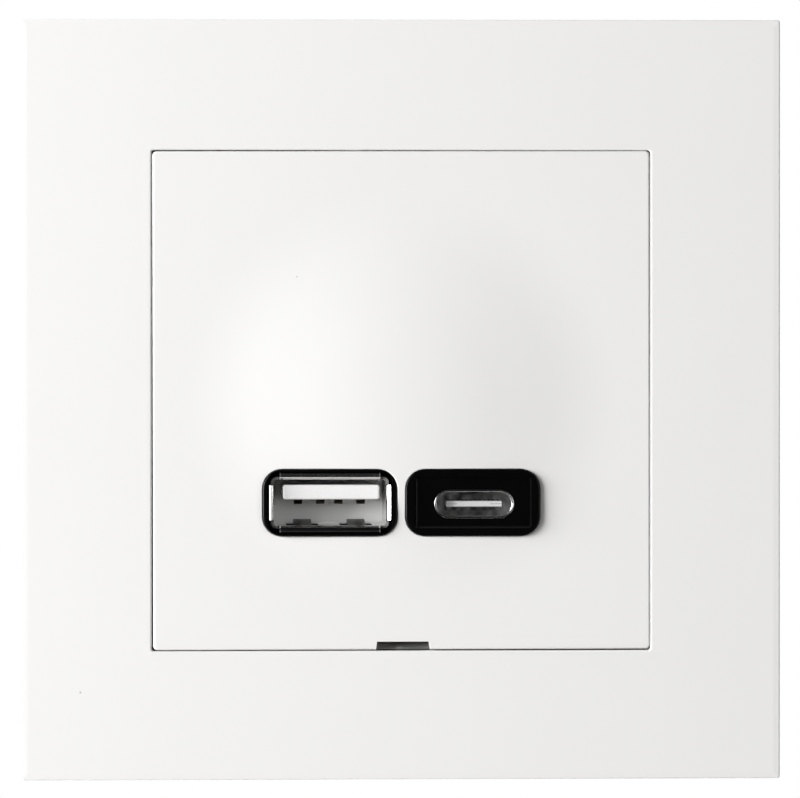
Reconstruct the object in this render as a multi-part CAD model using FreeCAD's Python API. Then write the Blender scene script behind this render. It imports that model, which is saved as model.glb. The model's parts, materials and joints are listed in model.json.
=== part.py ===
import FreeCAD, Part

# A flush USB wall socket with one type A and one type C port, as it hangs on a wall.
# X points right, Z up and Y into the wall, so the front faces -Y. The wall's surface is
# Y = 0 and the origin is the centre of the cover frame's rim on it. All sizes are in mm.
# A depth is a value of Y, given from front to back. Names in lower case are worked out.

import math
import os

Vector = FreeCAD.Vector

# Cover frame
FRAME_SIDE = 84.6
FRAME_DEPTH = 10.0
FRAME_WALL = 2.0
FRAME_CORNER = 0.5
FRAME_EDGE = 0.4
WINDOW_CORNER = 0.3
WINDOW_EDGE = 0.3
COLLAR_WALL = 1.4
LEDGE_REACH = 1.2
LEDGE_THICKNESS = 1.0
RIB_THICKNESS = 1.2
RIB_HEIGHT = 4.0
RIBS_PER_SIDE = 4

# Centre plate
PLATE_SIDE = 55.5
PLATE_GAP = 0.15
PLATE_FRONT = 2.0
PLATE_DEPTH = 5.0
PLATE_CORNER = 0.5
PLATE_EDGE = 0.3
SKIRT_WALL = 1.5
DOME_MARGIN = 3.75
DOME_SLOPE = 3.3
DOME_CROWN = 10.56
DOME_FOOT = 7.44
NOTCH_WIDTH = 5.9
NOTCH_HEIGHT = 0.8
NOTCH_DEPTH = 3.5
NOTCH_TAPER = 0.15

# Pads that centre the plate in the frame's window, each (middle, length) along its side
LEFT_PADS = ((6.7, 3.8),)
TOP_PADS = ((-5.4, 1.8), (5.9, 4.3))
PAD_HEIGHT = 0.1
PAD_SETBACK = 0.8
PAD_DEPTH = 2.5

# Clip legs of the centre plate
LEG_INSET = 2.15
LEG_GAP = 0.9
LEG_THICKNESS = 1.2
LEG_WIDTH = 6.0
LEG_SPREAD = 20.0
BARB_REACH = 1.1
BARB_LENGTH = 2.3
BARB_GAP = 0.1
CLIP_SLOT_GAP = 0.5

# Steel support plate, with slots for the two screws of a 60 mm wall box
STEEL = 1.2
STEEL_MARGIN = 5.05
STEEL_CORNER = 3.0
RIM_HEIGHT = 1.5
RIM_LENGTH = 46.0
RIM_BEND = 0.7
SCREW_SPACING = 60.0
SLOT_LENGTH = 7.0
SLOT_RADIUS = 1.8
CORNER_HOLE_RADIUS = 1.9
CORNER_HOLE_SPACING = 60.0

# Port housing, in front of the steel plate
HOUSING_GAP = 0.3
HOUSING_WALL = 1.5
SPIGOT_WALL = 1.2
SPIGOT_CORNER = 6.2
SPIGOT_REACH = 4.5
FLANGE_REACH = 1.5
FLANGE_CORNER = 9.0
FLANGE_THICKNESS = 1.5
SPIGOT_GAP = 0.3
PORT_PITCH = 15.9
PORT_DROP = 11.46
NOSE_WIDTH = 14.96
NOSE_HEIGHT = 7.45
NOSE_CORNER = 2.2
NOSE_PROUD = 0.6
NOSE_EDGE = 0.15
NOSE_GAP = 0.1
HOOK_WIDTH = 5.0
HOOK_REACH = 0.9
HOOK_LENGTH = 1.6
HOOK_SPREAD = 18.0
HOOK_GAP = 0.3

# Rear can
CAN_DEPTH = 32.0
CAN_WALL = 1.5
RAIL_THICKNESS = 1.0
RAIL_LAP = 0.6
RAIL_GAP = 0.05

# Circuit boards
BOARD_THICKNESS = 1.6
BOARD_GAP = 0.5

# Type A receptacle
A_WIDTH = 12.5
A_HEIGHT = 5.12
A_THICKNESS = 0.3
A_CORNER = 0.3
A_LENGTH = 13.6
A_SETBACK = 0.15
LIP_BEND = 0.35
LIP_ANGLE = 65.0
LIP_LENGTH_TALL = 0.35
LIP_LENGTH_SIDE = 0.14
LIP_WIDTH_TALL = 11.2
LIP_WIDTH_SIDE = 3.9
LIP_GAP = 0.08
A_TONGUE_WIDTH = 10.9
A_TONGUE_THICKNESS = 1.7
A_TONGUE_RISE = 1.2
A_TONGUE_SETBACK = 0.9
A_TONGUE_LENGTH = 8.6
A_FIT = 0.05
FINGER_SPACING = 6.0
FINGER_WIDTH = 2.0
FINGER_SLOT = 0.8
FINGER_START = 2.4
FINGER_LENGTH = 4.4
FINGER_DIP = 0.6
ROOF_FINGER_DIP = 0.35
CONTACT_WIDTH = 0.9
CONTACT_THICKNESS = 0.2
BULGE_HEIGHT = 0.5
CONTACT_LENGTH = 3.2
CONTACT_OUTER_PITCH = 7.0
CONTACT_INNER_PITCH = 2.0

# Type C receptacle
C_WIDTH = 8.94
C_HEIGHT = 3.26
C_THICKNESS = 0.3
C_LENGTH = 9.4
C_DROP = 0.15
C_SHIFT = 0.15
C_HOLE_GAP = 0.08
FACE_WIDTH = 13.0
FACE_HEIGHT = 5.7
FACE_CORNER = 0.6
FACE_RECESS = 0.2
C_TONGUE_WIDTH = 6.2
C_TONGUE_THICKNESS = 0.7
C_TONGUE_SETBACK = 0.8
C_TONGUE_LENGTH = 4.6
C_BASE_POCKET = 0.5
C_BASE_RING = 0.55
C_FOOT_WIDTH = 5.4
C_FOOT_LENGTH = 5.0
C_CONTACTS = 12
C_CONTACT_PITCH = 0.5
C_CONTACT_WIDTH = 0.25
C_CONTACT_THICKNESS = 0.06

# Rising-cage screw terminals
BLOCK_WIDTH = 28.0
BLOCK_DEPTH = 12.0
BLOCK_HEIGHT = 12.8
BLOCK_GAP = 0.1
POLE_PITCH = 14.0
WIRE_RADIUS = 1.5
WIRE_FUNNEL = 0.8
WIRE_WALL = 3.0
CHAMBER_WIDTH = 6.0
CHAMBER_DEPTH = 6.0
CAGE_GAP = 0.2
CAGE_WALL = 0.8
CAGE_FLOOR = 1.0
CAGE_NUT = 1.6
CAGE_REST = 0.3
CAGE_TRAVEL = 2.5
BAR_WIDTH = 3.8
BAR_THICKNESS = 1.0
BAR_FRONT = 0.9
BAR_POCKET = 0.35
BAR_FIT = 0.05
THREAD_RADIUS = 1.46
THREAD_CLEARANCE = 0.04
HEAD_RADIUS = 2.4
HEAD_HEIGHT = 1.8
HEAD_GAP = 0.1
DRIVE_WIDTH = 0.7
DRIVE_DEPTH = 0.9

# Transformer on the main board. Each place is the middle of a part's foot, (x, y) on its board.
TRANSFORMER_PLACE = (-8.2, 16.0)
CORE_WIDTH = 16.0
CORE_HEIGHT = 15.0
CORE_THICKNESS = 5.0
CORE_LEG = 2.4
CORE_CENTRE_LEG = 4.8
CORE_BACK = 2.5
BOBBIN_WALL = 0.5
BOBBIN_FLANGE = 0.8
BOBBIN_DEPTH = 12.0
BOBBIN_RAIL = 3.0
WINDING_DEPTH = 10.4
WINDING_GAP = 0.3

# Other parts on the main board. A chip's size is its width, depth and height.
BULK_PLACES = ((4.8, 25.4), (13.4, 25.4))
BULK_RADIUS = 4.0
BULK_HEIGHT = 16.0
OUTPUT_PLACES = ((5.0, 9.8), (5.0, 16.8))
OUTPUT_RADIUS = 3.15
OUTPUT_HEIGHT = 8.0
CAPACITOR_EDGE = 0.6
CONTROLLER_PLACE = (11.6, 17.6)
CONTROLLER_SIZE = (4.9, 3.9, 1.5)
RECTIFIER_PLACE = (11.6, 10.0)
CHARGE_PLACE = (15.4, -0.6)
CHARGE_SIZE = (4.0, 4.0, 0.9)
OPTO_PLACE = (-14.0, 27.7)
OPTO_SIZE = (6.5, 4.4, 3.5)
SAFETY_PLACE = (-5.4, 27.7)
SAFETY_RADIUS = 3.5
SAFETY_THICKNESS = 3.2
SHEET_THICKNESS = 0.4
SHEET_Y = 5.6

# Pin header between the two boards
HEADER_PLACE = (16.4, 13.6)
HEADER_WIDTH = 2.5
HEADER_HEIGHT = 2.5
PIN_SIDE = 0.64
PIN_SPACING = 2.54
PINS = 4

# Parts on the mains board
FUSE_PLACE = (-13.0, 8.2)
FUSE_SIZE = (8.4, 4.0, 7.0)
FILTER_PLACE = (10.8, 8.2)
FILTER_SIZE = (12.5, 5.0, 10.0)
VARISTOR_PLACE = (-13.4, 15.0)
VARISTOR_RADIUS = 3.75
VARISTOR_THICKNESS = 3.6
BRIDGE_PLACE = (13.6, 14.6)
BRIDGE_SIZE = (4.7, 3.9, 2.5)
CHOKE_PLACE = (-1.2, 12.4)
CHOKE_RADIUS = 4.8
CHOKE_HOLE = 2.6
CHOKE_HEIGHT = 4.0
CHOKE_WIRE = 0.7
CHOKE_ANGLE = 130.0

# Main depths, front to back
front_y = -FRAME_DEPTH
plate_back_y = front_y + PLATE_FRONT
ledge_y = front_y + PLATE_DEPTH
housing_y = plate_back_y + HOUSING_GAP
nose_y = front_y - NOSE_PROUD
flange_y = -STEEL - FLANGE_THICKNESS
can_inner_y = CAN_DEPTH - CAN_WALL
a_mouth_y = nose_y + A_SETBACK
c_mouth_y = nose_y + FACE_RECESS

# Main widths: the plate's legs pass just outside the flange, and the spigot fits in the can
window_side = PLATE_SIDE + 2 * PLATE_GAP
dome_radius = PLATE_SIDE / 2 - DOME_MARGIN
steel_side = FRAME_SIDE - 2 * (FRAME_WALL + STEEL_MARGIN)
leg_x = PLATE_SIDE / 2 - LEG_INSET
flange_side = 2 * (leg_x - LEG_THICKNESS - LEG_GAP)
can_side = flange_side - 2 * FLANGE_REACH
can_inner = can_side - 2 * CAN_WALL
can_corner = SPIGOT_CORNER + SPIGOT_GAP + CAN_WALL
spigot_side = can_inner - 2 * SPIGOT_GAP
board_half = spigot_side / 2 - SPIGOT_WALL - BOARD_GAP

# The dome's height: a crown arc, a straight flank and a foot arc that ends level
dome_turn = math.radians(DOME_SLOPE)
flank_height = (dome_radius - DOME_FOOT - DOME_CROWN) * math.tan(dome_turn)
dome_height = (DOME_CROWN + DOME_FOOT) * math.tan(dome_turn / 2) + flank_height

# Main heights
port_z = -PORT_DROP
a_x = -PORT_PITCH / 2
c_x = PORT_PITCH / 2 + C_SHIFT
c_z = port_z - C_DROP
main_top = port_z - A_HEIGHT / 2 - A_THICKNESS
main_bottom = main_top - BOARD_THICKNESS
block_top = can_inner / 2 - BLOCK_GAP
mains_top = block_top - BLOCK_HEIGHT
mains_bottom = mains_top - BOARD_THICKNESS

# The boards' depths
board_front_y = housing_y + HOUSING_WALL + BOARD_GAP
board_back_y = can_inner_y - BLOCK_GAP
rail_front_y = SPIGOT_REACH + BOARD_GAP

# The terminals' heights, with each cage at its lowest, fully open
cage_low = mains_top + CAGE_REST
wire_z = cage_low + CAGE_FLOOR + WIRE_RADIUS
bar_bottom = cage_low + CAGE_FLOOR + 2 * WIRE_RADIUS
bar_top = bar_bottom + BAR_THICKNESS
nut_bottom = bar_top + HEAD_GAP
nut_top = nut_bottom + CAGE_NUT
chamber_top = nut_top + CAGE_TRAVEL + HEAD_GAP
block_back_y = CAN_DEPTH
block_front_y = block_back_y - BLOCK_DEPTH
chamber_back_y = block_back_y - WIRE_WALL
screw_y = chamber_back_y - CHAMBER_DEPTH / 2


def span(centre, width):
    """The low and high ends of a width about its centre."""
    return centre - width / 2, centre + width / 2


def block(x, y, z):
    """A box between the low and high ends x, y and z."""
    sizes = [high - low for low, high in (x, y, z)]
    return Part.makeBox(*sizes, Vector(x[0], y[0], z[0]))


def rounded_wire(width, height, radius, y, x=0.0, z=0.0):
    """A rectangle with round corners, flat at the depth y and centred on x and z."""
    edges = []
    ends = []
    signs = ((1, 1), (-1, 1), (-1, -1), (1, -1))
    for number, (side, rise) in enumerate(signs):
        centre = Vector(x + side * (width / 2 - radius), y, z + rise * (height / 2 - radius))
        angles = [math.radians(90 * number + part) for part in (0, 45, 90)]
        points = [centre + Vector(math.cos(a), 0, math.sin(a)) * radius for a in angles]
        if ends and ends[-1].distanceToPoint(points[0]) > 1e-6:
            edges.append(Part.makeLine(ends[-1], points[0]))
        edges.append(Part.Arc(*points).toShape())
        ends.extend((points[0], points[2]))
    if ends[-1].distanceToPoint(ends[0]) > 1e-6:
        edges.append(Part.makeLine(ends[-1], ends[0]))
    return Part.Wire(edges)


def slab(width, height, radius, y, x=0.0, z=0.0):
    """A plate with round corners between the two depths y."""
    face = Part.Face(rounded_wire(width, height, radius, y[0], x, z))
    return face.extrude(Vector(0, y[1] - y[0], 0))


def square(side, radius, y):
    """A square plate about the middle of the socket, between the two depths y."""
    return slab(side, side, radius, y)


def prism(points, along):
    """A straight-sided outline, given corner by corner, pushed along a vector."""
    return Part.Face(Part.makePolygon([*points, points[0]])).extrude(along)


def turned(shape, degrees):
    """A copy turned about the front-to-back axis through the origin."""
    return shape.rotated(Vector(), Vector(0, 1, 0), degrees)


def mirrored(shape):
    """A copy on the other side of the upright plane through the origin."""
    return shape.mirror(Vector(), Vector(1, 0, 0))


def moved(shape, x=0.0, y=0.0, z=0.0):
    """A copy shifted by x, y and z."""
    return shape.translated(Vector(x, y, z))


def cylinder(radius, length, x, y, z, axis=Vector(0, 0, 1)):
    """A round bar that starts at x, y, z and runs along the axis."""
    return Part.makeCylinder(radius, length, Vector(x, y, z), axis)


def flat_edges(shape, y, low, high):
    """The edges at the depth y whose farthest corner is between low and high from the middle."""
    chosen = []
    for edge in shape.Edges:
        box = edge.BoundBox
        reach = max(abs(box.XMin), abs(box.XMax), abs(box.ZMin), abs(box.ZMax))
        if abs(box.YMin - y) < 1e-4 and abs(box.YMax - y) < 1e-4 and low < reach < high:
            chosen.append(edge)
    return chosen


def cover_frame():
    """The frame: a tray that stands on the wall, with a collar and ledge round its window."""
    body = square(FRAME_SIDE, FRAME_CORNER, (front_y, 0))
    hollow_side = FRAME_SIDE - 2 * FRAME_WALL
    body = body.cut(square(hollow_side, FRAME_CORNER, (front_y + FRAME_WALL, 0)))
    collar_side = window_side + 2 * COLLAR_WALL
    collar_back_y = ledge_y + LEDGE_THICKNESS
    pieces = [square(collar_side, FRAME_CORNER, (front_y + FRAME_WALL / 2, collar_back_y))]
    rib_y = (front_y + FRAME_WALL / 2, front_y + FRAME_WALL + RIB_HEIGHT)
    rib_z = (collar_side / 2 - COLLAR_WALL / 2, FRAME_SIDE / 2 - FRAME_WALL / 2)
    for number in range(RIBS_PER_SIDE):
        x = (number - (RIBS_PER_SIDE - 1) / 2) * collar_side / RIBS_PER_SIDE
        rib = block(span(x, RIB_THICKNESS), rib_y, rib_z)
        pieces.extend(turned(rib, 90 * side) for side in range(4))
    body = body.fuse(pieces)
    window = square(window_side, WINDOW_CORNER, (front_y, ledge_y))
    ledge_hole = square(window_side - 2 * LEDGE_REACH, FRAME_CORNER, (ledge_y, collar_back_y))
    body = body.cut([window, ledge_hole]).removeSplitter()
    outside = flat_edges(body, front_y, collar_side / 2, FRAME_SIDE)
    body = body.makeFillet(FRAME_EDGE, outside)
    inside = flat_edges(body, front_y, 0, collar_side / 2)
    return body.makeFillet(WINDOW_EDGE, inside)


def dome_arc(level_end, width, side):
    """Three points of an arc that leaves its level end and turns to the slope of the dome's flank."""
    radius = width / math.sin(dome_turn)
    points = []
    for turn in (0, dome_turn / 2, dome_turn):
        run = Vector(radius * math.sin(turn), radius * (1 - math.cos(turn)), 0)
        points.append(level_end + run * side)
    return points


def dome():
    """The plate's bulk, with a shallow dome: a crown, a straight flank and a foot that ends level."""
    top = Vector(0, front_y - dome_height, 0)
    rim = Vector(dome_radius, front_y, 0)
    crown = dome_arc(top, DOME_CROWN, 1)
    foot = dome_arc(rim, DOME_FOOT, -1)
    swell = [Part.Arc(*crown).toShape(), Part.makeLine(crown[2], foot[2]), Part.Arc(*foot[::-1]).toShape()]
    edge = Vector(PLATE_SIDE, front_y, 0)
    outer = [rim, edge, Vector(PLATE_SIDE, ledge_y, 0), Vector(0, ledge_y, 0), top]
    bulk = [Part.makeLine(start, end) for start, end in zip(outer, outer[1:])]
    face = Part.Face(Part.Wire(swell + bulk))
    return face.revolve(Vector(), Vector(0, 1, 0), 360)


def clip_leg():
    """A leg that reaches back through the steel plate's slot and hooks behind it."""
    outer = leg_x
    inner = leg_x - LEG_THICKNESS
    hook = leg_x + BARB_REACH
    points = [
        Vector(inner, plate_back_y - PLATE_FRONT / 4, 0),
        Vector(outer, plate_back_y - PLATE_FRONT / 4, 0),
        Vector(outer, BARB_GAP, 0),
        Vector(hook, BARB_GAP, 0),
        Vector(hook, BARB_GAP + BARB_LENGTH / 4, 0),
        Vector(outer - LEG_THICKNESS / 3, BARB_GAP + BARB_LENGTH, 0),
        Vector(inner, BARB_GAP + BARB_LENGTH, 0),
    ]
    return moved(prism(points, Vector(0, 0, LEG_WIDTH)), z=-LEG_WIDTH / 2)


def centre_plate():
    """The white plate: domed front, skirt on the frame's ledge, two windows and a pry notch."""
    body = dome().common(square(PLATE_SIDE, PLATE_CORNER, (nose_y - dome_height, ledge_y)))
    rim = flat_edges(body, front_y, PLATE_SIDE / 2 - PLATE_EDGE, PLATE_SIDE)
    body = body.makeFillet(PLATE_EDGE, rim)
    inner_side = PLATE_SIDE - 2 * SKIRT_WALL
    body = body.cut(square(inner_side, PLATE_CORNER, (plate_back_y, ledge_y)))
    legs = []
    for z in (-LEG_SPREAD / 2, LEG_SPREAD / 2):
        leg = moved(clip_leg(), z=z)
        legs.extend((leg, mirrored(leg)))
    pad_y = (front_y + PAD_SETBACK, front_y + PAD_SETBACK + PAD_DEPTH)
    edge = (PLATE_SIDE / 2 - SKIRT_WALL / 2, PLATE_SIDE / 2 + PAD_HEIGHT)
    pads = [block((-edge[1], -edge[0]), pad_y, span(z, length)) for z, length in LEFT_PADS]
    pads += [block(span(x, length), pad_y, edge) for x, length in TOP_PADS]
    body = body.fuse(legs + pads)
    cuts = []
    for x in (a_x, -a_x):
        width = NOSE_WIDTH + 2 * NOSE_GAP
        height = NOSE_HEIGHT + 2 * NOSE_GAP
        depths = (nose_y - dome_height, plate_back_y)
        cuts.append(slab(width, height, NOSE_CORNER + NOSE_GAP, depths, x, port_z))
    low_z = -PLATE_SIDE / 2
    start_y = nose_y - dome_height
    notch = [
        Vector(-NOTCH_WIDTH / 2, start_y, low_z),
        Vector(NOTCH_WIDTH / 2, start_y, low_z),
        Vector(NOTCH_WIDTH / 2 - NOTCH_TAPER, start_y, low_z + NOTCH_HEIGHT),
        Vector(NOTCH_TAPER - NOTCH_WIDTH / 2, start_y, low_z + NOTCH_HEIGHT),
    ]
    cuts.append(prism(notch, Vector(0, front_y + NOTCH_DEPTH - start_y, 0)))
    return body.cut(cuts).removeSplitter()


def support_plate():
    """The steel plate on the wall: bent rims, and slots for box screws and for the plate's clips."""
    depths = (-STEEL, 0)
    half_side = steel_side / 2
    body = square(steel_side, STEEL_CORNER, depths)
    rim = block((half_side - STEEL, half_side), (-STEEL - RIM_HEIGHT, 0), span(0, RIM_LENGTH))
    body = body.fuse([turned(rim, 90 * side) for side in range(4)]).removeSplitter()
    body = body.makeFillet(RIM_BEND, flat_edges(body, 0, half_side - RIM_BEND, steel_side))
    opening = spigot_side + 2 * SPIGOT_GAP
    cuts = [square(opening, SPIGOT_CORNER + SPIGOT_GAP, depths)]
    slot = slab(SLOT_LENGTH, 2 * SLOT_RADIUS, SLOT_RADIUS, depths, SCREW_SPACING / 2)
    cuts.extend(turned(slot, 90 * side) for side in range(4))
    clip_x = (leg_x - LEG_THICKNESS - CLIP_SLOT_GAP, leg_x + CLIP_SLOT_GAP)
    half = CORNER_HOLE_SPACING / 2
    for z in (-1, 1):
        clip_slot = block(clip_x, depths, span(z * LEG_SPREAD / 2, LEG_WIDTH + 2 * CLIP_SLOT_GAP))
        cuts.extend((clip_slot, mirrored(clip_slot)))
        for x in (-half, half):
            cuts.append(cylinder(CORNER_HOLE_RADIUS, STEEL, x, -STEEL, z * half, Vector(0, 1, 0)))
    return body.cut(cuts)


def hook():
    """A snap hook on the right wall of the port housing's spigot."""
    wall_x = spigot_side / 2
    start_y = FLANGE_THICKNESS + HOOK_GAP
    points = [
        Vector(wall_x - SPIGOT_WALL / 2, start_y, 0),
        Vector(wall_x + HOOK_REACH, start_y, 0),
        Vector(wall_x + HOOK_REACH, start_y + HOOK_LENGTH / 4, 0),
        Vector(wall_x, start_y + HOOK_LENGTH, 0),
        Vector(wall_x - SPIGOT_WALL / 2, start_y + HOOK_LENGTH, 0),
    ]
    return moved(prism(points, Vector(0, 0, HOOK_WIDTH)), z=-HOOK_WIDTH / 2)


def port_housing():
    """The black front housing, with two noses that fill the plate's windows."""
    body = square(spigot_side, SPIGOT_CORNER, (housing_y, SPIGOT_REACH))
    flange = square(flange_side, FLANGE_CORNER, (flange_y, -STEEL))
    pieces = [flange]
    for x in (a_x, -a_x):
        nose = slab(NOSE_WIDTH, NOSE_HEIGHT, NOSE_CORNER, (nose_y, housing_y + HOUSING_WALL), x, port_z)
        face_edges = [edge for edge in nose.Edges if edge.BoundBox.YMax < nose_y + 1e-4]
        pieces.append(nose.makeFillet(NOSE_EDGE, face_edges))
    for z in (-HOOK_SPREAD / 2, HOOK_SPREAD / 2):
        snap = moved(hook(), z=z)
        pieces.extend((snap, mirrored(snap)))
    inner_side = spigot_side - 2 * SPIGOT_WALL
    inner_y = (housing_y + HOUSING_WALL, SPIGOT_REACH)
    inner = square(inner_side, SPIGOT_CORNER - SPIGOT_WALL, inner_y)
    body = body.fuse(pieces).cut(inner)
    return body.cut(a_aperture() + c_aperture()).removeSplitter()


def a_aperture():
    """The stepped hole for the type A shell and its flared lips."""
    reach = lip_reach(LIP_LENGTH_TALL)
    forward = lip_forward(LIP_LENGTH_TALL)
    width = A_WIDTH + 2 * A_THICKNESS + 2 * lip_reach(LIP_LENGTH_SIDE) + 2 * LIP_GAP
    height = A_HEIGHT + 2 * A_THICKNESS + 2 * reach + 2 * LIP_GAP
    mouth = slab(width, height, NOSE_CORNER / 2, (nose_y, a_mouth_y + forward + LIP_GAP), a_x, port_z)
    shell_width = A_WIDTH + 2 * A_THICKNESS + 2 * LIP_GAP
    shell_height = A_HEIGHT + 2 * A_THICKNESS + 2 * LIP_GAP
    depths = (nose_y, housing_y + HOUSING_WALL)
    return [mouth, slab(shell_width, shell_height, A_CORNER + A_THICKNESS, depths, a_x, port_z)]


def c_aperture():
    """The shallow recess round the type C port and the hole for its shell."""
    recess = slab(FACE_WIDTH, FACE_HEIGHT, FACE_CORNER, (nose_y, c_mouth_y), -a_x, port_z)
    width = C_WIDTH + 2 * C_HOLE_GAP
    height = C_HEIGHT + 2 * C_HOLE_GAP
    hole = slab(width, height, height / 2, (nose_y, housing_y + HOUSING_WALL), c_x, c_z)
    return [recess, hole]


def rail_pair(board_bottom):
    """The two ribs that hold one edge of a board, on the can's right wall."""
    x = (board_half - RAIL_LAP, can_inner / 2 + CAN_WALL / 3)
    depths = (rail_front_y, can_inner_y + CAN_WALL / 3)
    board_top = board_bottom + BOARD_THICKNESS
    under = block(x, depths, (board_bottom - RAIL_THICKNESS, board_bottom))
    over = block(x, depths, (board_top + RAIL_GAP, board_top + RAIL_GAP + RAIL_THICKNESS))
    return [under, over]


def rear_can():
    """The can behind the wall: board rails inside, and openings for hooks and terminals."""
    body = square(can_side, can_corner, (0, CAN_DEPTH))
    body = body.fuse(square(flange_side, FLANGE_CORNER, (0, FLANGE_THICKNESS)))
    body = body.cut(square(can_inner, can_corner - CAN_WALL, (0, can_inner_y)))
    rails = rail_pair(main_bottom) + rail_pair(mains_bottom)
    body = body.fuse(rails + [mirrored(rail) for rail in rails])
    cuts = []
    for z in (-HOOK_SPREAD / 2, HOOK_SPREAD / 2):
        depths = (FLANGE_THICKNESS, FLANGE_THICKNESS + HOOK_LENGTH + 2 * HOOK_GAP)
        window = block((can_inner / 2 - 1, can_side / 2), depths, span(z, HOOK_WIDTH + 2 * HOOK_GAP))
        cuts.extend((window, mirrored(window)))
    back_z = (mains_top - BLOCK_GAP, can_inner / 2)
    cuts.append(block(span(0, BLOCK_WIDTH + 2 * BLOCK_GAP), (can_inner_y, CAN_DEPTH), back_z))
    for x in (-POLE_PITCH / 2, POLE_PITCH / 2):
        access = HEAD_RADIUS + 3 * HEAD_GAP
        cuts.append(cylinder(access, 2 * CAN_WALL, x, screw_y, can_inner / 2 - CAN_WALL / 2))
    return body.cut(cuts).removeSplitter()


def main_board():
    """The lower board, under both receptacles."""
    return block(span(0, 2 * board_half), (board_front_y, board_back_y), (main_bottom, main_top))


def mains_board():
    """The upper board, which carries the terminals and the mains filter."""
    return block(span(0, 2 * board_half), (rail_front_y, board_back_y), (mains_bottom, mains_top))


def lip_reach(straight):
    """How far a flared lip stands out from the shell's outer face."""
    angle = math.radians(LIP_ANGLE)
    return LIP_BEND * (1 - math.cos(angle)) + straight * math.sin(angle)


def lip_forward(straight):
    """How far a flared lip runs forward from where its bend starts."""
    angle = math.radians(LIP_ANGLE)
    return (LIP_BEND + A_THICKNESS) * math.sin(angle) + straight * math.cos(angle)


def lip(width, straight, wall):
    """A lip bent outward from the top edge of a wall whose outer face is that far up."""
    angle = math.radians(LIP_ANGLE)
    start_y = a_mouth_y + lip_forward(straight)

    def on_bend(radius, turn):
        rise = wall + LIP_BEND - radius * math.cos(turn)
        return Vector(-width / 2, start_y - radius * math.sin(turn), rise)

    inner_radius = LIP_BEND + A_THICKNESS
    onward = Vector(0, -math.cos(angle), math.sin(angle)) * straight
    inner = [on_bend(inner_radius, angle * part / 2) for part in range(3)]
    outer = [on_bend(LIP_BEND, angle * part / 2) for part in range(3)]
    edges = [
        Part.Arc(*inner).toShape(),
        Part.makeLine(inner[2], inner[2] + onward),
        Part.makeLine(inner[2] + onward, outer[2] + onward),
        Part.makeLine(outer[2] + onward, outer[2]),
        Part.Arc(*outer[::-1]).toShape(),
        Part.makeLine(outer[0], inner[0]),
    ]
    return Part.Face(Part.Wire(edges)).extrude(Vector(width, 0, 0))


def spring_finger(start_y, wall_z, dip):
    """A finger of the shell's floor: it slopes up into the port and curls down at its tip."""
    top = wall_z + A_THICKNESS
    crest_y = start_y + FINGER_LENGTH * 0.75
    end_y = start_y + FINGER_LENGTH
    points = [
        Vector(0, start_y - A_THICKNESS, wall_z),
        Vector(0, start_y, wall_z),
        Vector(0, crest_y, wall_z + dip),
        Vector(0, end_y, wall_z + dip / 3),
        Vector(0, end_y, top + dip / 3),
        Vector(0, crest_y, top + dip),
        Vector(0, start_y, top),
        Vector(0, start_y - A_THICKNESS, top),
    ]
    return moved(prism(points, Vector(FINGER_WIDTH, 0, 0)), x=-FINGER_WIDTH / 2)


def usb_a_shell():
    """The pressed shell: four flared lips, and two spring fingers in its floor and its roof."""
    outer_width = A_WIDTH + 2 * A_THICKNESS
    outer_height = A_HEIGHT + 2 * A_THICKNESS
    back_y = a_mouth_y + A_LENGTH
    wall_y = (a_mouth_y + lip_forward(LIP_LENGTH_SIDE), back_y)
    body = slab(outer_width, outer_height, A_CORNER + A_THICKNESS, wall_y)
    body = body.cut(slab(A_WIDTH, A_HEIGHT, A_CORNER, wall_y))
    tall_y = (a_mouth_y, a_mouth_y + lip_forward(LIP_LENGTH_TALL))
    for side in (-1, 1):
        edge = block(span(0, LIP_WIDTH_TALL), tall_y, span(side * outer_height / 2, 2 * A_THICKNESS))
        body = body.cut(edge)
    tall = lip(LIP_WIDTH_TALL, LIP_LENGTH_TALL, outer_height / 2)
    wide = lip(LIP_WIDTH_SIDE, LIP_LENGTH_SIDE, outer_width / 2)
    body = body.fuse([tall, turned(tall, 180), turned(wide, 90), turned(wide, -90)])
    start_y = a_mouth_y + FINGER_START
    slots = []
    fingers = []
    for x in (-FINGER_SPACING / 2, FINGER_SPACING / 2):
        width = FINGER_WIDTH + 2 * FINGER_SLOT
        slot_y = (start_y, start_y + FINGER_LENGTH + FINGER_SLOT)
        slot = block(span(x, width), slot_y, (-outer_height / 2, -A_HEIGHT / 2))
        floor_finger = spring_finger(start_y, -outer_height / 2, FINGER_DIP)
        roof_finger = turned(spring_finger(start_y, -outer_height / 2, ROOF_FINGER_DIP), 180)
        slots.extend((slot, turned(slot, 180)))
        fingers.extend((moved(floor_finger, x=x), moved(roof_finger, x=x)))
    body = body.cut(slots).fuse(fingers).removeSplitter()
    return moved(body, x=a_x, z=port_z)


def usb_a_insulator():
    """The white moulding: a block that closes the shell's back, and the tongue."""
    tongue_y = a_mouth_y + A_TONGUE_SETBACK
    root_y = tongue_y + A_TONGUE_LENGTH
    rise = port_z + A_TONGUE_RISE
    tongue = slab(A_TONGUE_WIDTH, A_TONGUE_THICKNESS, A_CORNER, (tongue_y, root_y), a_x, rise)
    depths = (root_y, a_mouth_y + A_LENGTH)
    back = slab(A_WIDTH - 2 * A_FIT, A_HEIGHT - 2 * A_FIT, A_CORNER - A_FIT, depths, a_x, port_z)
    return tongue.fuse(back).removeSplitter()


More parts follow.
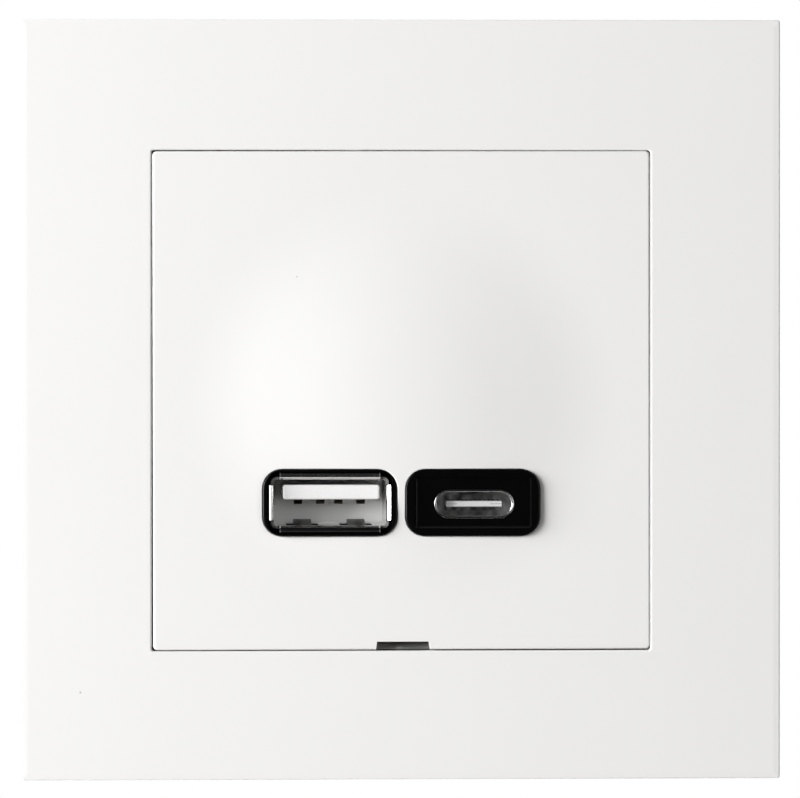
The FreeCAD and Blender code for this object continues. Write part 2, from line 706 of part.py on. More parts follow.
def usb_a_contact(x):
    """One sprung contact under the tongue, with its rounded bulge near the tip."""
    under = port_z + A_TONGUE_RISE - A_TONGUE_THICKNESS / 2
    tip_y = a_mouth_y + A_TONGUE_SETBACK
    root_y = tip_y + A_TONGUE_LENGTH
    strip_y = (tip_y + CONTACT_LENGTH / 3, root_y)
    strip = block(span(x, CONTACT_WIDTH), strip_y, (under - CONTACT_THICKNESS, under))
    left = x - CONTACT_WIDTH / 2
    start = Vector(left, strip_y[0] + CONTACT_THICKNESS, under - CONTACT_THICKNESS / 2)
    end = start + Vector(0, CONTACT_LENGTH, 0)
    middle = (start + end) / 2
    low = middle - Vector(0, 0, BULGE_HEIGHT)
    high = low + Vector(0, 0, CONTACT_THICKNESS)
    edges = [Part.Arc(start, low, end).toShape(), Part.Arc(end, high, start).toShape()]
    bulge = Part.Face(Part.Wire(edges)).extrude(Vector(CONTACT_WIDTH, 0, 0))
    return strip.fuse(bulge).removeSplitter()


def usb_a_contacts():
    """The type A port's four contacts, the outer two set wider."""
    offsets = (CONTACT_OUTER_PITCH / 2, CONTACT_INNER_PITCH / 2)
    return Part.makeCompound([usb_a_contact(a_x + side * x) for x in offsets for side in (-1, 1)])


def usb_c_shell():
    """The type C port's drawn steel shell, with fully round ends."""
    depths = (c_mouth_y, c_mouth_y + C_LENGTH)
    outer = slab(C_WIDTH, C_HEIGHT, C_HEIGHT / 2, depths, c_x, c_z)
    height = C_HEIGHT - 2 * C_THICKNESS
    return outer.cut(slab(C_WIDTH - 2 * C_THICKNESS, height, height / 2, depths, c_x, c_z))


def usb_c_insulator():
    """The type C moulding: thin tongue, base in the shell, and the foot on the board."""
    tongue_y = c_mouth_y + C_TONGUE_SETBACK
    root_y = tongue_y + C_TONGUE_LENGTH
    back_y = c_mouth_y + C_LENGTH
    height = C_HEIGHT - 2 * C_THICKNESS
    width = C_WIDTH - 2 * C_THICKNESS
    base = slab(width, height, height / 2, (root_y, back_y), c_x, c_z)
    pocket_height = C_TONGUE_THICKNESS + 2 * C_BASE_RING
    pocket_width = C_TONGUE_WIDTH + 2 * C_BASE_RING
    pocket_y = (root_y, root_y + C_BASE_POCKET)
    base = base.cut(slab(pocket_width, pocket_height, pocket_height / 2, pocket_y, c_x, c_z))
    half = C_TONGUE_THICKNESS / 2
    tongue = slab(C_TONGUE_WIDTH, C_TONGUE_THICKNESS, half / 2, (tongue_y, pocket_y[1]), c_x, c_z)
    foot_z = (main_top, c_z - C_HEIGHT / 2)
    foot = block(span(c_x, C_FOOT_WIDTH), (back_y - C_FOOT_LENGTH, back_y + C_THICKNESS), foot_z)
    cap = slab(C_WIDTH, C_HEIGHT, C_HEIGHT / 2, (back_y, back_y + 2 * C_THICKNESS), c_x, c_z)
    return base.fuse([tongue, foot, cap]).removeSplitter()


def usb_c_contacts():
    """Two rows of flat contacts on the type C tongue."""
    tip_y = c_mouth_y + C_TONGUE_SETBACK + C_CONTACT_PITCH
    root_y = c_mouth_y + C_TONGUE_SETBACK + C_TONGUE_LENGTH
    contacts = []
    for number in range(C_CONTACTS):
        x = c_x + (number - (C_CONTACTS - 1) / 2) * C_CONTACT_PITCH
        for side in (-1, 1):
            z = c_z + side * (C_TONGUE_THICKNESS + C_CONTACT_THICKNESS) / 2
            contact = block(span(x, C_CONTACT_WIDTH), (tip_y, root_y), span(z, C_CONTACT_THICKNESS))
            contacts.append(contact)
    return Part.makeCompound(contacts)


def terminal_block():
    """The moulded block that guides both cages, with wire funnels behind and screw holes above."""
    body = block(span(0, BLOCK_WIDTH), (block_front_y, block_back_y), (mains_top, block_top))
    cuts = []
    for x in (-POLE_PITCH / 2, POLE_PITCH / 2):
        chamber_y = (chamber_back_y - CHAMBER_DEPTH, chamber_back_y)
        cuts.append(block(span(x, CHAMBER_WIDTH), chamber_y, (mains_top, chamber_top)))
        guide = HEAD_RADIUS + HEAD_GAP
        cuts.append(cylinder(guide, block_top - chamber_top, x, screw_y, chamber_top))
        cuts.append(cylinder(WIRE_RADIUS, WIRE_WALL, x, chamber_back_y, wire_z, Vector(0, 1, 0)))
        mouth = Vector(x, block_back_y, wire_z)
        funnel_radius = WIRE_RADIUS + WIRE_FUNNEL
        cuts.append(Part.makeCone(funnel_radius, WIRE_RADIUS, WIRE_FUNNEL, mouth, Vector(0, -1, 0)))
        cuts.append(terminal_bar(x, BAR_FIT))
    return body.cut(cuts).removeSplitter()


def terminal_bar(x, fit=0.0):
    """A pole's brass bar, through its cage and down to the board; with a fit, its pocket."""
    width = span(x, BAR_WIDTH + 2 * fit)
    front = block_front_y + BAR_FRONT
    bar_y = (front - fit, chamber_back_y + BAR_POCKET + fit)
    top = block(width, bar_y, (bar_bottom - fit, bar_top + fit))
    leg_y = (front - fit, front + BAR_THICKNESS + fit)
    leg = block(width, leg_y, (mains_top, bar_bottom))
    return top.fuse(leg).removeSplitter()


def terminal_cage(x):
    """The steel cage round a bar, at its lowest; the screw's thread runs in its roof."""
    width = CHAMBER_WIDTH - 2 * CAGE_GAP
    depths = span(screw_y, CHAMBER_DEPTH - 2 * CAGE_GAP)
    body = block(span(x, width), depths, (cage_low, nut_top))
    inside = block(span(x, width - 2 * CAGE_WALL), depths, (cage_low + CAGE_FLOOR, nut_bottom))
    hole = cylinder(THREAD_RADIUS + THREAD_CLEARANCE, CAGE_NUT, x, screw_y, nut_bottom)
    return body.cut([inside, hole])


def terminal_screw(x):
    """A clamping screw: its tip bears on the bar, and its slotted head is turned from above."""
    tip = bar_top + HEAD_GAP / 2
    head = chamber_top + HEAD_GAP / 2
    shaft = cylinder(THREAD_RADIUS, head - tip, x, screw_y, tip)
    top = cylinder(HEAD_RADIUS, HEAD_HEIGHT, x, screw_y, head)
    rim = [edge for edge in top.Edges if edge.BoundBox.ZMin > head + HEAD_HEIGHT / 2]
    top = top.makeChamfer(HEAD_HEIGHT / 6, rim)
    drive_z = (head + HEAD_HEIGHT - DRIVE_DEPTH, head + HEAD_HEIGHT)
    drive = block(span(x, 2 * HEAD_RADIUS), span(screw_y, DRIVE_WIDTH), drive_z)
    return shaft.fuse(top).cut(drive).removeSplitter()


def chip(size, place, z):
    """A moulded chip body on a board, with its upper edges chamfered."""
    width, depth, height = size
    body = block(span(place[0], width), span(place[1], depth), (z, z + height))
    upper = [edge for edge in body.Edges if edge.BoundBox.ZMin > z + height / 2]
    return body.makeChamfer(height / 10, upper)


def can_capacitor(radius, height, place):
    """An upright aluminium-can capacitor on the main board, with rolled edges."""
    body = cylinder(radius, height, *place, main_top)
    upper = [edge for edge in body.Edges if edge.BoundBox.ZMin > main_top + height / 2]
    return body.makeFillet(CAPACITOR_EDGE, upper)


def disc(radius, thickness, place, z, axis):
    """A dipped disc that stands on its edge on a board, its faces across the axis."""
    body = cylinder(radius, thickness, *place, z + radius, axis)
    body = moved(body, x=-axis.x * thickness / 2, y=-axis.y * thickness / 2)
    return body.makeFillet(thickness / 4, [edge for edge in body.Edges if edge.Closed])


def core_half():
    """The lower E half of the transformer's ferrite core, its legs pointing up."""
    height = CORE_HEIGHT / 2
    depths = span(0, CORE_THICKNESS)
    body = block(span(0, CORE_WIDTH), depths, (0, height))
    window = (CORE_WIDTH - 2 * CORE_LEG - CORE_CENTRE_LEG) / 2
    middle = CORE_CENTRE_LEG / 2 + window / 2
    cuts = [block(span(side * middle, window), depths, (CORE_BACK, height)) for side in (-1, 1)]
    return body.cut(cuts)


def transformer_core():
    """Two E halves of ferrite, meeting leg to leg."""
    lower = core_half()
    upper = moved(lower.rotated(Vector(), Vector(1, 0, 0), 180), z=CORE_HEIGHT)
    x, y = TRANSFORMER_PLACE
    return Part.makeCompound([moved(half, x, y, main_top) for half in (lower, upper)])


def winding_window():
    """The space inside the bobbin's flanges: its height range and the tube's outer sizes."""
    low = CORE_BACK + BOBBIN_FLANGE
    high = CORE_HEIGHT - CORE_BACK - BOBBIN_FLANGE
    return low, high, CORE_CENTRE_LEG + 2 * BOBBIN_WALL, CORE_THICKNESS + 2 * BOBBIN_WALL


def transformer_bobbin():
    """The bobbin: a tube round the centre leg, two flanges and two rails on the board."""
    low, high, tube_width, tube_depth = winding_window()
    flange_width = CORE_WIDTH - 2 * CORE_LEG
    body = block(span(0, tube_width), span(0, tube_depth), (CORE_BACK, CORE_HEIGHT - CORE_BACK))
    for z in ((CORE_BACK, low), (high, CORE_HEIGHT - CORE_BACK)):
        body = body.fuse(block(span(0, flange_width), span(0, BOBBIN_DEPTH), z))
    for side in (-1, 1):
        y = side * (BOBBIN_DEPTH + BOBBIN_RAIL) / 2
        body = body.fuse(block(span(0, CORE_WIDTH), span(y, BOBBIN_RAIL), (0, low)))
    leg = block(span(0, CORE_CENTRE_LEG), span(0, CORE_THICKNESS), (CORE_BACK, CORE_HEIGHT - CORE_BACK))
    x, y = TRANSFORMER_PLACE
    return moved(body.cut(leg).removeSplitter(), x, y, main_top)


def transformer_winding():
    """The winding under its tape: a round-cornered ring that fills the bobbin."""
    low, high, tube_width, tube_depth = winding_window()
    outer_width = CORE_WIDTH - 2 * CORE_LEG - 2 * WINDING_GAP
    ring = slab(outer_width, WINDING_DEPTH, BOBBIN_WALL * 3, (0, high - low))
    ring = ring.rotated(Vector(), Vector(1, 0, 0), 90)
    ring = ring.cut(block(span(0, tube_width), span(0, tube_depth), (0, high - low)))
    x, y = TRANSFORMER_PLACE
    return moved(ring, x, y, main_top + low)


def header_pins(side):
    """The four square pins that join the two boards, as wide as the side."""
    x, y = HEADER_PLACE
    pins = []
    for number in range(PINS):
        pin_y = y + (number - (PINS - 1) / 2) * PIN_SPACING
        pins.append(block(span(x, side), span(pin_y, side), (main_top, mains_bottom)))
    return pins


def link_header():
    """The header's two plastic strips, one on each board, with holes for the pins."""
    x, y = HEADER_PLACE
    strips = []
    for z in ((main_top, main_top + HEADER_HEIGHT), (mains_bottom - HEADER_HEIGHT, mains_bottom)):
        strip = block(span(x, HEADER_WIDTH), span(y, PINS * PIN_SPACING), z)
        strips.append(strip.cut(header_pins(PIN_SIDE)))
    return Part.makeCompound(strips)


def insulation_sheet():
    """The barrier between the ports and the power parts, standing on the main board."""
    width = 2 * (board_half - RAIL_LAP - RAIL_GAP)
    return block(span(0, width), (SHEET_Y, SHEET_Y + SHEET_THICKNESS), (main_top, mains_bottom))


def ring_piece(inner, outer, z, degrees, start):
    """Part of a ring about Z with a rectangular section, from a start angle."""
    corners = [(inner, z[0]), (outer, z[0]), (outer, z[1]), (inner, z[1]), (inner, z[0])]
    face = Part.Face(Part.makePolygon([Vector(radius, 0, height) for radius, height in corners]))
    return face.revolve(Vector(), Vector(0, 0, 1), degrees).rotated(Vector(), Vector(0, 0, 1), start)


def choke_core():
    """The mains filter choke's ring core."""
    ring = ring_piece(CHOKE_HOLE, CHOKE_RADIUS, (CHOKE_WIRE, CHOKE_WIRE + CHOKE_HEIGHT), 360, 0)
    return moved(ring, *CHOKE_PLACE, mains_top)


def choke_windings():
    """The choke's two windings, one on each side of its ring."""
    core = ring_piece(CHOKE_HOLE, CHOKE_RADIUS, (CHOKE_WIRE, CHOKE_WIRE + CHOKE_HEIGHT), 360, 0)
    height = (0, CHOKE_HEIGHT + 2 * CHOKE_WIRE)
    windings = []
    for middle in (0, 180):
        start = middle - CHOKE_ANGLE / 2
        coil = ring_piece(CHOKE_HOLE - CHOKE_WIRE, CHOKE_RADIUS + CHOKE_WIRE, height, CHOKE_ANGLE, start)
        windings.append(moved(coil.cut(core), *CHOKE_PLACE, mains_top))
    return Part.makeCompound(windings)


def all_parts():
    """Every piece of the socket, by name."""
    right = Vector(1, 0, 0)
    back = Vector(0, 1, 0)
    live_x = -POLE_PITCH / 2
    neutral_x = POLE_PITCH / 2
    bulk = [can_capacitor(BULK_RADIUS, BULK_HEIGHT, place) for place in BULK_PLACES]
    output = [can_capacitor(OUTPUT_RADIUS, OUTPUT_HEIGHT, place) for place in OUTPUT_PLACES]
    return {
        "cover_frame": cover_frame(),
        "centre_plate": centre_plate(),
        "support_plate": support_plate(),
        "port_housing": port_housing(),
        "rear_can": rear_can(),
        "main_board": main_board(),
        "mains_board": mains_board(),
        "usb_a_shell": usb_a_shell(),
        "usb_a_insulator": usb_a_insulator(),
        "usb_a_contacts": usb_a_contacts(),
        "usb_c_shell": usb_c_shell(),
        "usb_c_insulator": usb_c_insulator(),
        "usb_c_contacts": usb_c_contacts(),
        "terminal_block": terminal_block(),
        "terminal_bar_live": terminal_bar(live_x),
        "terminal_bar_neutral": terminal_bar(neutral_x),
        "terminal_cage_live": terminal_cage(live_x),
        "terminal_cage_neutral": terminal_cage(neutral_x),
        "terminal_screw_live": terminal_screw(live_x),
        "terminal_screw_neutral": terminal_screw(neutral_x),
        "transformer_core": transformer_core(),
        "transformer_bobbin": transformer_bobbin(),
        "transformer_winding": transformer_winding(),
        "bulk_capacitors": Part.makeCompound(bulk),
        "output_capacitors": Part.makeCompound(output),
        "switching_controller": chip(CONTROLLER_SIZE, CONTROLLER_PLACE, main_top),
        "output_rectifier": chip(CONTROLLER_SIZE, RECTIFIER_PLACE, main_top),
        "charge_controller": chip(CHARGE_SIZE, CHARGE_PLACE, main_top),
        "optocoupler": chip(OPTO_SIZE, OPTO_PLACE, main_top),
        "safety_capacitor": disc(SAFETY_RADIUS, SAFETY_THICKNESS, SAFETY_PLACE, main_top, back),
        "insulation_sheet": insulation_sheet(),
        "link_header": link_header(),
        "link_pins": Part.makeCompound(header_pins(PIN_SIDE)),
        "fuse": chip(FUSE_SIZE, FUSE_PLACE, mains_top),
        "filter_capacitor": chip(FILTER_SIZE, FILTER_PLACE, mains_top),
        "varistor": disc(VARISTOR_RADIUS, VARISTOR_THICKNESS, VARISTOR_PLACE, mains_top, right),
        "bridge_rectifier": chip(BRIDGE_SIZE, BRIDGE_PLACE, mains_top),
        "choke_core": choke_core(),
        "choke_windings": choke_windings(),
    }


os.makedirs("parts", exist_ok=True)
for name, shape in all_parts().items():
    shape.exportStep(f"parts/{name}.step")
    print(f"{name}: {len(shape.Solids)} solid(s), valid {shape.isValid()}, {shape.Volume:.2f} mm3")
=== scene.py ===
# %% [markdown]
# # A wall socket with two charging ports
#
# The socket is a white cover frame, a white centre plate that swells in a shallow dome, and two black
# noses with metal ports. Behind them sit a steel plate and a can full of electronics. Its real sizes come
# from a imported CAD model, in metres, and the pieces made here keep within a millimetre of the model's.

# %% Load the frame
import json
import math

import bpy
import numpy as np
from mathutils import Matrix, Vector
from mathutils.geometry import delaunay_2d_cdt


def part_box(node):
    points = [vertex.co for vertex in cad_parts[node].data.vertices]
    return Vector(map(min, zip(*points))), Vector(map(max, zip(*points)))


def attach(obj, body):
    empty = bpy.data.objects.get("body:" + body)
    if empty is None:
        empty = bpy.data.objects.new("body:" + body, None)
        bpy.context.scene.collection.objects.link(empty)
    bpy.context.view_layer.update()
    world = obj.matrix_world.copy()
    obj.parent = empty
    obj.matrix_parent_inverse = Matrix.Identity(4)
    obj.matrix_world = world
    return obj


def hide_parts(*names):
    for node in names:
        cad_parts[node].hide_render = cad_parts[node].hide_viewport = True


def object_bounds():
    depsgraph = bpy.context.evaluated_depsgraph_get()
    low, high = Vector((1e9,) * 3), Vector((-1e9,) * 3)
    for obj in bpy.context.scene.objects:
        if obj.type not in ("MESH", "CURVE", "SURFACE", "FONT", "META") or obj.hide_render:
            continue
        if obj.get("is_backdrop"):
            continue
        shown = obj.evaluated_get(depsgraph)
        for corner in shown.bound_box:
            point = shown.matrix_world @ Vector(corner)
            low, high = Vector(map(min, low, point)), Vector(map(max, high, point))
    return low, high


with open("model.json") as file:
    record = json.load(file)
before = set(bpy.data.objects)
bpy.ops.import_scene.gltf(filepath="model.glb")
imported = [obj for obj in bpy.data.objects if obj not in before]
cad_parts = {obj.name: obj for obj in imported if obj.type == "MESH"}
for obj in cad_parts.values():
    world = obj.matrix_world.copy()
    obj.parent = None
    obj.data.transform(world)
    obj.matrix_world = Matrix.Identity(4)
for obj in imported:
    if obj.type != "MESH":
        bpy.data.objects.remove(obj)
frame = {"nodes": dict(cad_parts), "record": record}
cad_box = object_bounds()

MM = 0.001
nodes = frame["nodes"]

# %% [markdown]
# ## Places on the front
#
# Shapes and finishes have to agree on where things are, so the places that several cells use come first.
# X runs to the right as we face the socket, Y into the wall and Z up. The frame's front is the lowest Y of
# its box. The type A port sits NOSE_X to the left of the middle, and the type C port as far to the right.
# The type A tongue is as long as its port is deep, so port_wall is the depth of that port's back wall.

# %% Places on the front
PLATE_HALF = 27.75 * MM
NOSE_X = 7.95 * MM
NOSE_Z = -11.46 * MM
NOTCH_HEIGHT = 0.8 * MM
NOTCH_DEPTH = 3.5 * MM
A_TONGUE_LENGTH = 8.6 * MM

frame_low, frame_high = (np.array(corner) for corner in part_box("cover_frame"))
front = frame_low[1]
frame_half = frame_high[0]
port_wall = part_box("usb_a_insulator")[0][1] + A_TONGUE_LENGTH
print("front at", round(front / MM, 2), "mm, frame", round(2 * frame_half / MM, 2), "mm wide")

# %% [markdown]
# ## A small language for finishes
#
# A finish on a real object is never one flat colour: moulded plastic has a fine skin, plated steel has a
# soft grain. In a shader those are numbers that change over the surface, and each sum on them is a Math
# node. Wiring Math nodes one by one is slow to write and hard to read. Wrapping a node's output in a small
# class lets us write the sums in Python, and the class adds the nodes.

# %% Values
class Value:
    """A number that changes over a surface. Sums on it add Math nodes to its network."""

    def __init__(self, network, socket):
        self.network = network
        self.socket = socket

    def maths(self, operation, *numbers):
        """The Math node for an operation on some numbers or values."""
        return self.network.add("ShaderNodeMath", {"operation": operation}, dict(enumerate(numbers)))

    def __add__(self, other):
        return self.maths("ADD", self, other)

    def __sub__(self, other):
        return self.maths("SUBTRACT", self, other)

    def __rsub__(self, other):
        return self.maths("SUBTRACT", other, self)

    def __mul__(self, other):
        return self.maths("MULTIPLY", self, other)

    def __abs__(self):
        return self.maths("ABSOLUTE", self)

    def sine(self):
        """The sine of the value in radians."""
        return self.maths("SINE", self)

    def larger(self, other):
        """The larger of two values."""
        return self.maths("MAXIMUM", self, other)

    __radd__ = __add__
    __rmul__ = __mul__


# %% [markdown]
# ## Networks of nodes
#
# Materials and the world are both networks of shader nodes. One method adds any node: it takes the kind, the
# settings, which come first because they decide what sockets there are, and what goes into the sockets. A
# step and a band are masks, numbers that are 1 in one place and 0 elsewhere. Their edges are soft, because
# a hard edge thinner than a pixel flickers. A finish names its places as pairs, where a step starts and
# where it is full, and as threes, a band's middle, its half width and its fade.

# %% Networks
class Network:
    """A tree of shader nodes, which are added by kind, settings and inputs."""

    def __init__(self, tree):
        self.tree = tree

    def add(self, kind, settings=None, inputs=None, output=0):
        """A new node of a kind. Its settings are set first, then its inputs are filled or linked."""
        node = self.tree.nodes.new(kind)
        for name, value in (settings or {}).items():
            setattr(node, name, value)
        self.fill(node, inputs or {})
        return Value(self, node.outputs[output])

    def fill(self, node, inputs):
        """Gives sockets their values, or links them where a value is a Value."""
        for name, value in inputs.items():
            if isinstance(value, Value):
                self.tree.links.new(value.socket, node.inputs[name])
            elif isinstance(value, tuple) and len(value) == 3 and node.inputs[name].type == "RGBA":
                node.inputs[name].default_value = (*value, 1.0)
            else:
                node.inputs[name].default_value = value

    def step(self, value, start, end):
        """0 before start and 1 past end, with a soft rise between. It rises toward smaller values where
        end is below start."""
        settings = {"interpolation_type": "SMOOTHSTEP"}
        return self.add("ShaderNodeMapRange", settings, {"Value": value, "From Min": start, "From Max": end})

    def band(self, value, middle, half, fade):
        """1 within half of a middle, then a soft fall over the fade to 0."""
        return self.step(abs(value - middle), half + fade, half)

    def axes(self, vector):
        """The three numbers X, Y and Z of a vector."""
        return [self.add("ShaderNodeSeparateXYZ", None, {0: vector}, output=name) for name in "XYZ"]


# %% [markdown]
# ## Finishes
#
# One Principled shader can be plastic, lacquer or metal. Patterns read Object coordinates, which are metres
# on the piece itself, so a grain of 0.35 mm is written as 0.35 mm and stays in place when the piece moves.

# %% Finishes
class Finish(Network):
    """A material on one Principled shader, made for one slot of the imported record."""

    def __init__(self, slot, **fixed):
        self.slot = slot
        self.material = bpy.data.materials.new(slot)
        self.material.use_nodes = True
        super().__init__(self.material.node_tree)
        self.shader = self.tree.nodes["Principled BSDF"]
        self.set(**fixed)
        self.place = self.add("ShaderNodeTexCoord", output="Object")

    def noise(self, size, detail=2.0, stretch=(1.0, 1.0, 1.0)):
        """Soft random spots of about a size in metres, drawn out where stretch is below 1."""
        scaled = self.add("ShaderNodeVectorMath", {"operation": "MULTIPLY"}, {0: self.place, 1: stretch})
        return self.add("ShaderNodeTexNoise", None, {"Vector": scaled, "Scale": 1 / size, "Detail": detail})

    def mix(self, factor, first, second):
        """One colour where the factor is 0 and another where it is 1."""
        return self.add("ShaderNodeMix", {"data_type": "RGBA"}, {0: factor, 6: first, 7: second}, output=2)

    def skin(self, height, depth):
        """Presses a height, 0 to 1, into the surface as relief of a depth in metres."""
        bump = self.add("ShaderNodeBump", None, {"Height": height, "Distance": depth})
        self.fill(self.shader, {"Normal": bump})

    def set(self, **sockets):
        """Fills or links the shader's sockets, named in lower case, and gives the finish."""
        for key, value in sockets.items():
            self.fill(self.shader, {key.replace("_", " ").title().replace("Ior", "IOR"): value})
        return self


finishes = {}


def keep(finish):
    """Files a finish's material under the slot that it fills."""
    finishes[finish.slot] = finish.material
    print("finish", finish.slot, "nodes", len(finish.tree.nodes))


# %% [markdown]
# ## White moulding
#
# The frame and the plate are the same satin white plastic. Its mould was spark-eroded very finely, so the
# light on it is soft and its highlights have no sharp edge. A photographed texture could show that skin, but
# it would repeat, so noise a third of a millimetre wide moves the relief and the roughness instead. The
# white is a little warm, and a few specks of dust lie on it.
#
# The pry notch in the plate's lower edge is a slot under 1 mm high, and in the photograph it is dark. White
# walls would bounce too much light about in it, so the finish paints shade onto them: nearly black at the
# top, lighter low down and to the left where the light falls in, with one painted pale glint.

# %% White plastic
NOTCH_WIDE = (0.0, 3.3 * MM, 0.1 * MM)
NOTCH_HIGH = (-27.43 * MM, 0.48 * MM, 0.05 * MM)
NOTCH_START = (0.1 * MM, 1.1 * MM)
NOTCH_END = (0.2 * MM, 0.1 * MM)
NOTCH_LIGHT = (-27.0 * MM, -27.4 * MM)
NOTCH_DIM = (-2.8 * MM, 1.5 * MM)
NOTCH_GLINT = (-0.2 * MM, 0.1 * MM, 0.4 * MM)
NOTCH_GLINT_HEIGHT = (-27.4 * MM, -27.7 * MM)


def notch_shade_and_glint(finish):
    """The mask of the notch's walls, its opening times its depth, and their colour: painted shade and one
    painted glint.
    """
    x, y, z = finish.axes(finish.place)
    # Painted shade: dark inside the notch's opening, from just behind the front back to its floor.
    opening = finish.band(z, *NOTCH_HIGH) * finish.band(x, *NOTCH_WIDE)
    deep = finish.step(y, *(front + depth for depth in NOTCH_START))
    deep = deep * finish.step(y, *(front + NOTCH_DEPTH + depth for depth in NOTCH_END))
    # Painted light: lighter low down and to the left, where the light falls in.
    lit = finish.step(z, *NOTCH_LIGHT) * (0.95 - 0.45 * finish.step(x, *NOTCH_DIM))
    # A painted pale glint low in the middle of the notch.
    glint = finish.band(x, *NOTCH_GLINT) * finish.step(z, *NOTCH_GLINT_HEIGHT)
    return opening * deep, finish.mix(lit + 0.35 * glint, (0.02, 0.019, 0.018), (0.9, 0.89, 0.87))


def white_plastic():
    """Warm satin white: tint and roughness drift by a few percent, a fine grain breaks highlights, and the
    notch gets painted shade.
    """
    finish = Finish("white_cover", specular_ior_level=0.4)
    drift = finish.noise(20 * MM)
    grain = finish.noise(0.35 * MM, 3.0)
    specks = finish.step(finish.noise(1.1 * MM, 0.0), 0.9, 0.92)
    white = finish.mix(drift, (0.875, 0.868, 0.853), (0.895, 0.888, 0.874))
    dusty = finish.mix(specks, white, (0.62, 0.6, 0.57))
    walls, shade = notch_shade_and_glint(finish)
    finish.skin(grain, 0.004 * MM)
    return finish.set(base_color=finish.mix(walls, dusty, shade), roughness=0.4 + 0.08 * grain)


keep(white_plastic())

# %% [markdown]
# ## Black moulding
#
# The noses are one black part behind the white plate. Black plastic looks black because nearly all of the
# light that we see is its gloss, so the roughness matters more than the colour. The type C port lies in a
# recess so shallow that only three edges of it show, as hair lines a shade lighter than the plastic where the
# edges catch the light. Real steps of that size would be thinner than a pixel, so their highlights are
# painted into the colour.

# %% Black plastic
RECESS_WIDE = (NOSE_X, 6.35 * MM, 0.1 * MM)
RECESS_HIGH = (NOSE_Z, 2.65 * MM, 0.1 * MM)
RECESS_LEFT = (1.68 * MM, 0.04 * MM, 0.08 * MM)
RECESS_RIGHT = (14.4 * MM, 0.02 * MM, 0.08 * MM)
RECESS_FOOT = (-14.2 * MM, 0.02 * MM, 0.08 * MM)
EDGE_HIGHLIGHT_COLOUR = (0.03, 0.03, 0.03)


def black_plastic():
    """Near-black with an even gloss that a fine grain softens, and the recess's three edges as painted
    highlight lines.
    """
    finish = Finish("black_housing", specular_ior_level=0.18)
    grain = finish.noise(0.25 * MM, 3.0)
    plain = finish.mix(finish.noise(4 * MM), (0.0006, 0.0006, 0.0006), (0.0016, 0.0016, 0.0016))
    x, _, z = finish.axes(finish.place)
    high = finish.band(z, *RECESS_HIGH)
    left = finish.band(x, *RECESS_LEFT) * high
    right = finish.band(x, *RECESS_RIGHT) * high
    foot = finish.band(z, *RECESS_FOOT) * finish.band(x, *RECESS_WIDE)
    finish.skin(grain, 0.002 * MM)
    # Painted edge highlights: the recess's three edges as lighter hair lines.
    colour = finish.mix(left + 0.3 * right + 0.5 * foot, plain, EDGE_HIGHLIGHT_COLOUR)
    return finish.set(base_color=colour, roughness=0.24 + 0.1 * grain)


keep(black_plastic())

# %% [markdown]
# ## Matt mouldings behind the wall
#
# The can, the terminal block and the small plastic parts are matt. One recipe serves them all: a colour
# that drifts a little, a grain like the spark-eroded mould's, and rougher spots where it was handled. The
# dipped and wrapped parts take the same recipe with a coarser grain and more gloss. Each row of the list is
# a slot, its colour, and where they differ from the can's the grain's size, the relief and the roughness.

# %% Matt plastics
def matt_plastic(name, colour, grain_size=0.5 * MM, relief=0.01 * MM, roughness=0.55):
    """A matt moulding: two close tones of one colour, grain of a size and relief, drifting roughness."""
    finish = Finish(name)
    grain = finish.noise(grain_size, 4.0)
    drift = finish.noise(6 * MM)
    darker = tuple(0.82 * part for part in colour)
    finish.skin(grain, relief)
    tone = finish.mix(0.7 * grain + 0.3 * drift, darker, colour)
    return finish.set(base_color=tone, roughness=(roughness - 0.08) + 0.16 * drift)


for recipe in (
        ("can_plastic", (0.045, 0.045, 0.048)),
        ("terminal_plastic", (0.27, 0.28, 0.29)),
        ("bobbin_plastic", (0.015, 0.015, 0.016)),
        ("chip_body", (0.02, 0.02, 0.021), 0.2 * MM, 0.006 * MM, 0.6),
        ("blue_dip", (0.02, 0.09, 0.4), 1.2 * MM, 0.04 * MM, 0.3),
        ("yellow_body", (0.62, 0.42, 0.03), 0.6 * MM, 0.008 * MM, 0.4),
        ("winding_tape", (0.7, 0.47, 0.05), 0.9 * MM, 0.02 * MM, 0.3),
        ("capacitor_can", (0.02, 0.025, 0.06), 0.8 * MM, 0.005 * MM, 0.25),
        ("ferrite", (0.035, 0.035, 0.038), 0.4 * MM, 0.02 * MM, 0.5),
        ("barrier_film", (0.6, 0.5, 0.24), 2 * MM, 0.01 * MM, 0.35)):
    keep(matt_plastic(*recipe))

# %% [markdown]
# ## Mouldings inside the ports
#
# The type C tongue is dark grey plastic moulded round a steel plate, and at its tip the plate's bare edge
# shines; that shine is painted into the colour as a light grey. The type A tongue is white. Both ports are
# deep and narrow, and the little light on their back walls has bounced many times, which takes a renderer
# long to find. A faint glow of their own stands for it, stronger where the photograph is lighter.

# %% Port plastics
C_TONGUE_X = 8.1 * MM
C_TONGUE_Z = -11.61 * MM
C_PLATE = (C_TONGUE_Z, 0.26 * MM, 0.04 * MM)
C_PLATE_DEPTH = (0.12 * MM, 0.08 * MM)
C_DIM = (1.8 * MM, 2.6 * MM)
C_LINE = (C_TONGUE_Z, 0.04 * MM, 0.05 * MM)
C_LINE_ENDS = (1.8 * MM, 1.9 * MM)
C_GLOW_DEPTH = (0.2 * MM, 0.6 * MM)
GLOW_DEPTH = (-0.3 * MM, -0.1 * MM)
GLOW_X = (-13.5 * MM, -4.0 * MM)
GLOW_Z = (-11.0 * MM, -13.4 * MM)
BLACK = (0.0, 0.0, 0.0)

c_tongue_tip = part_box("usb_c_insulator")[0][1]


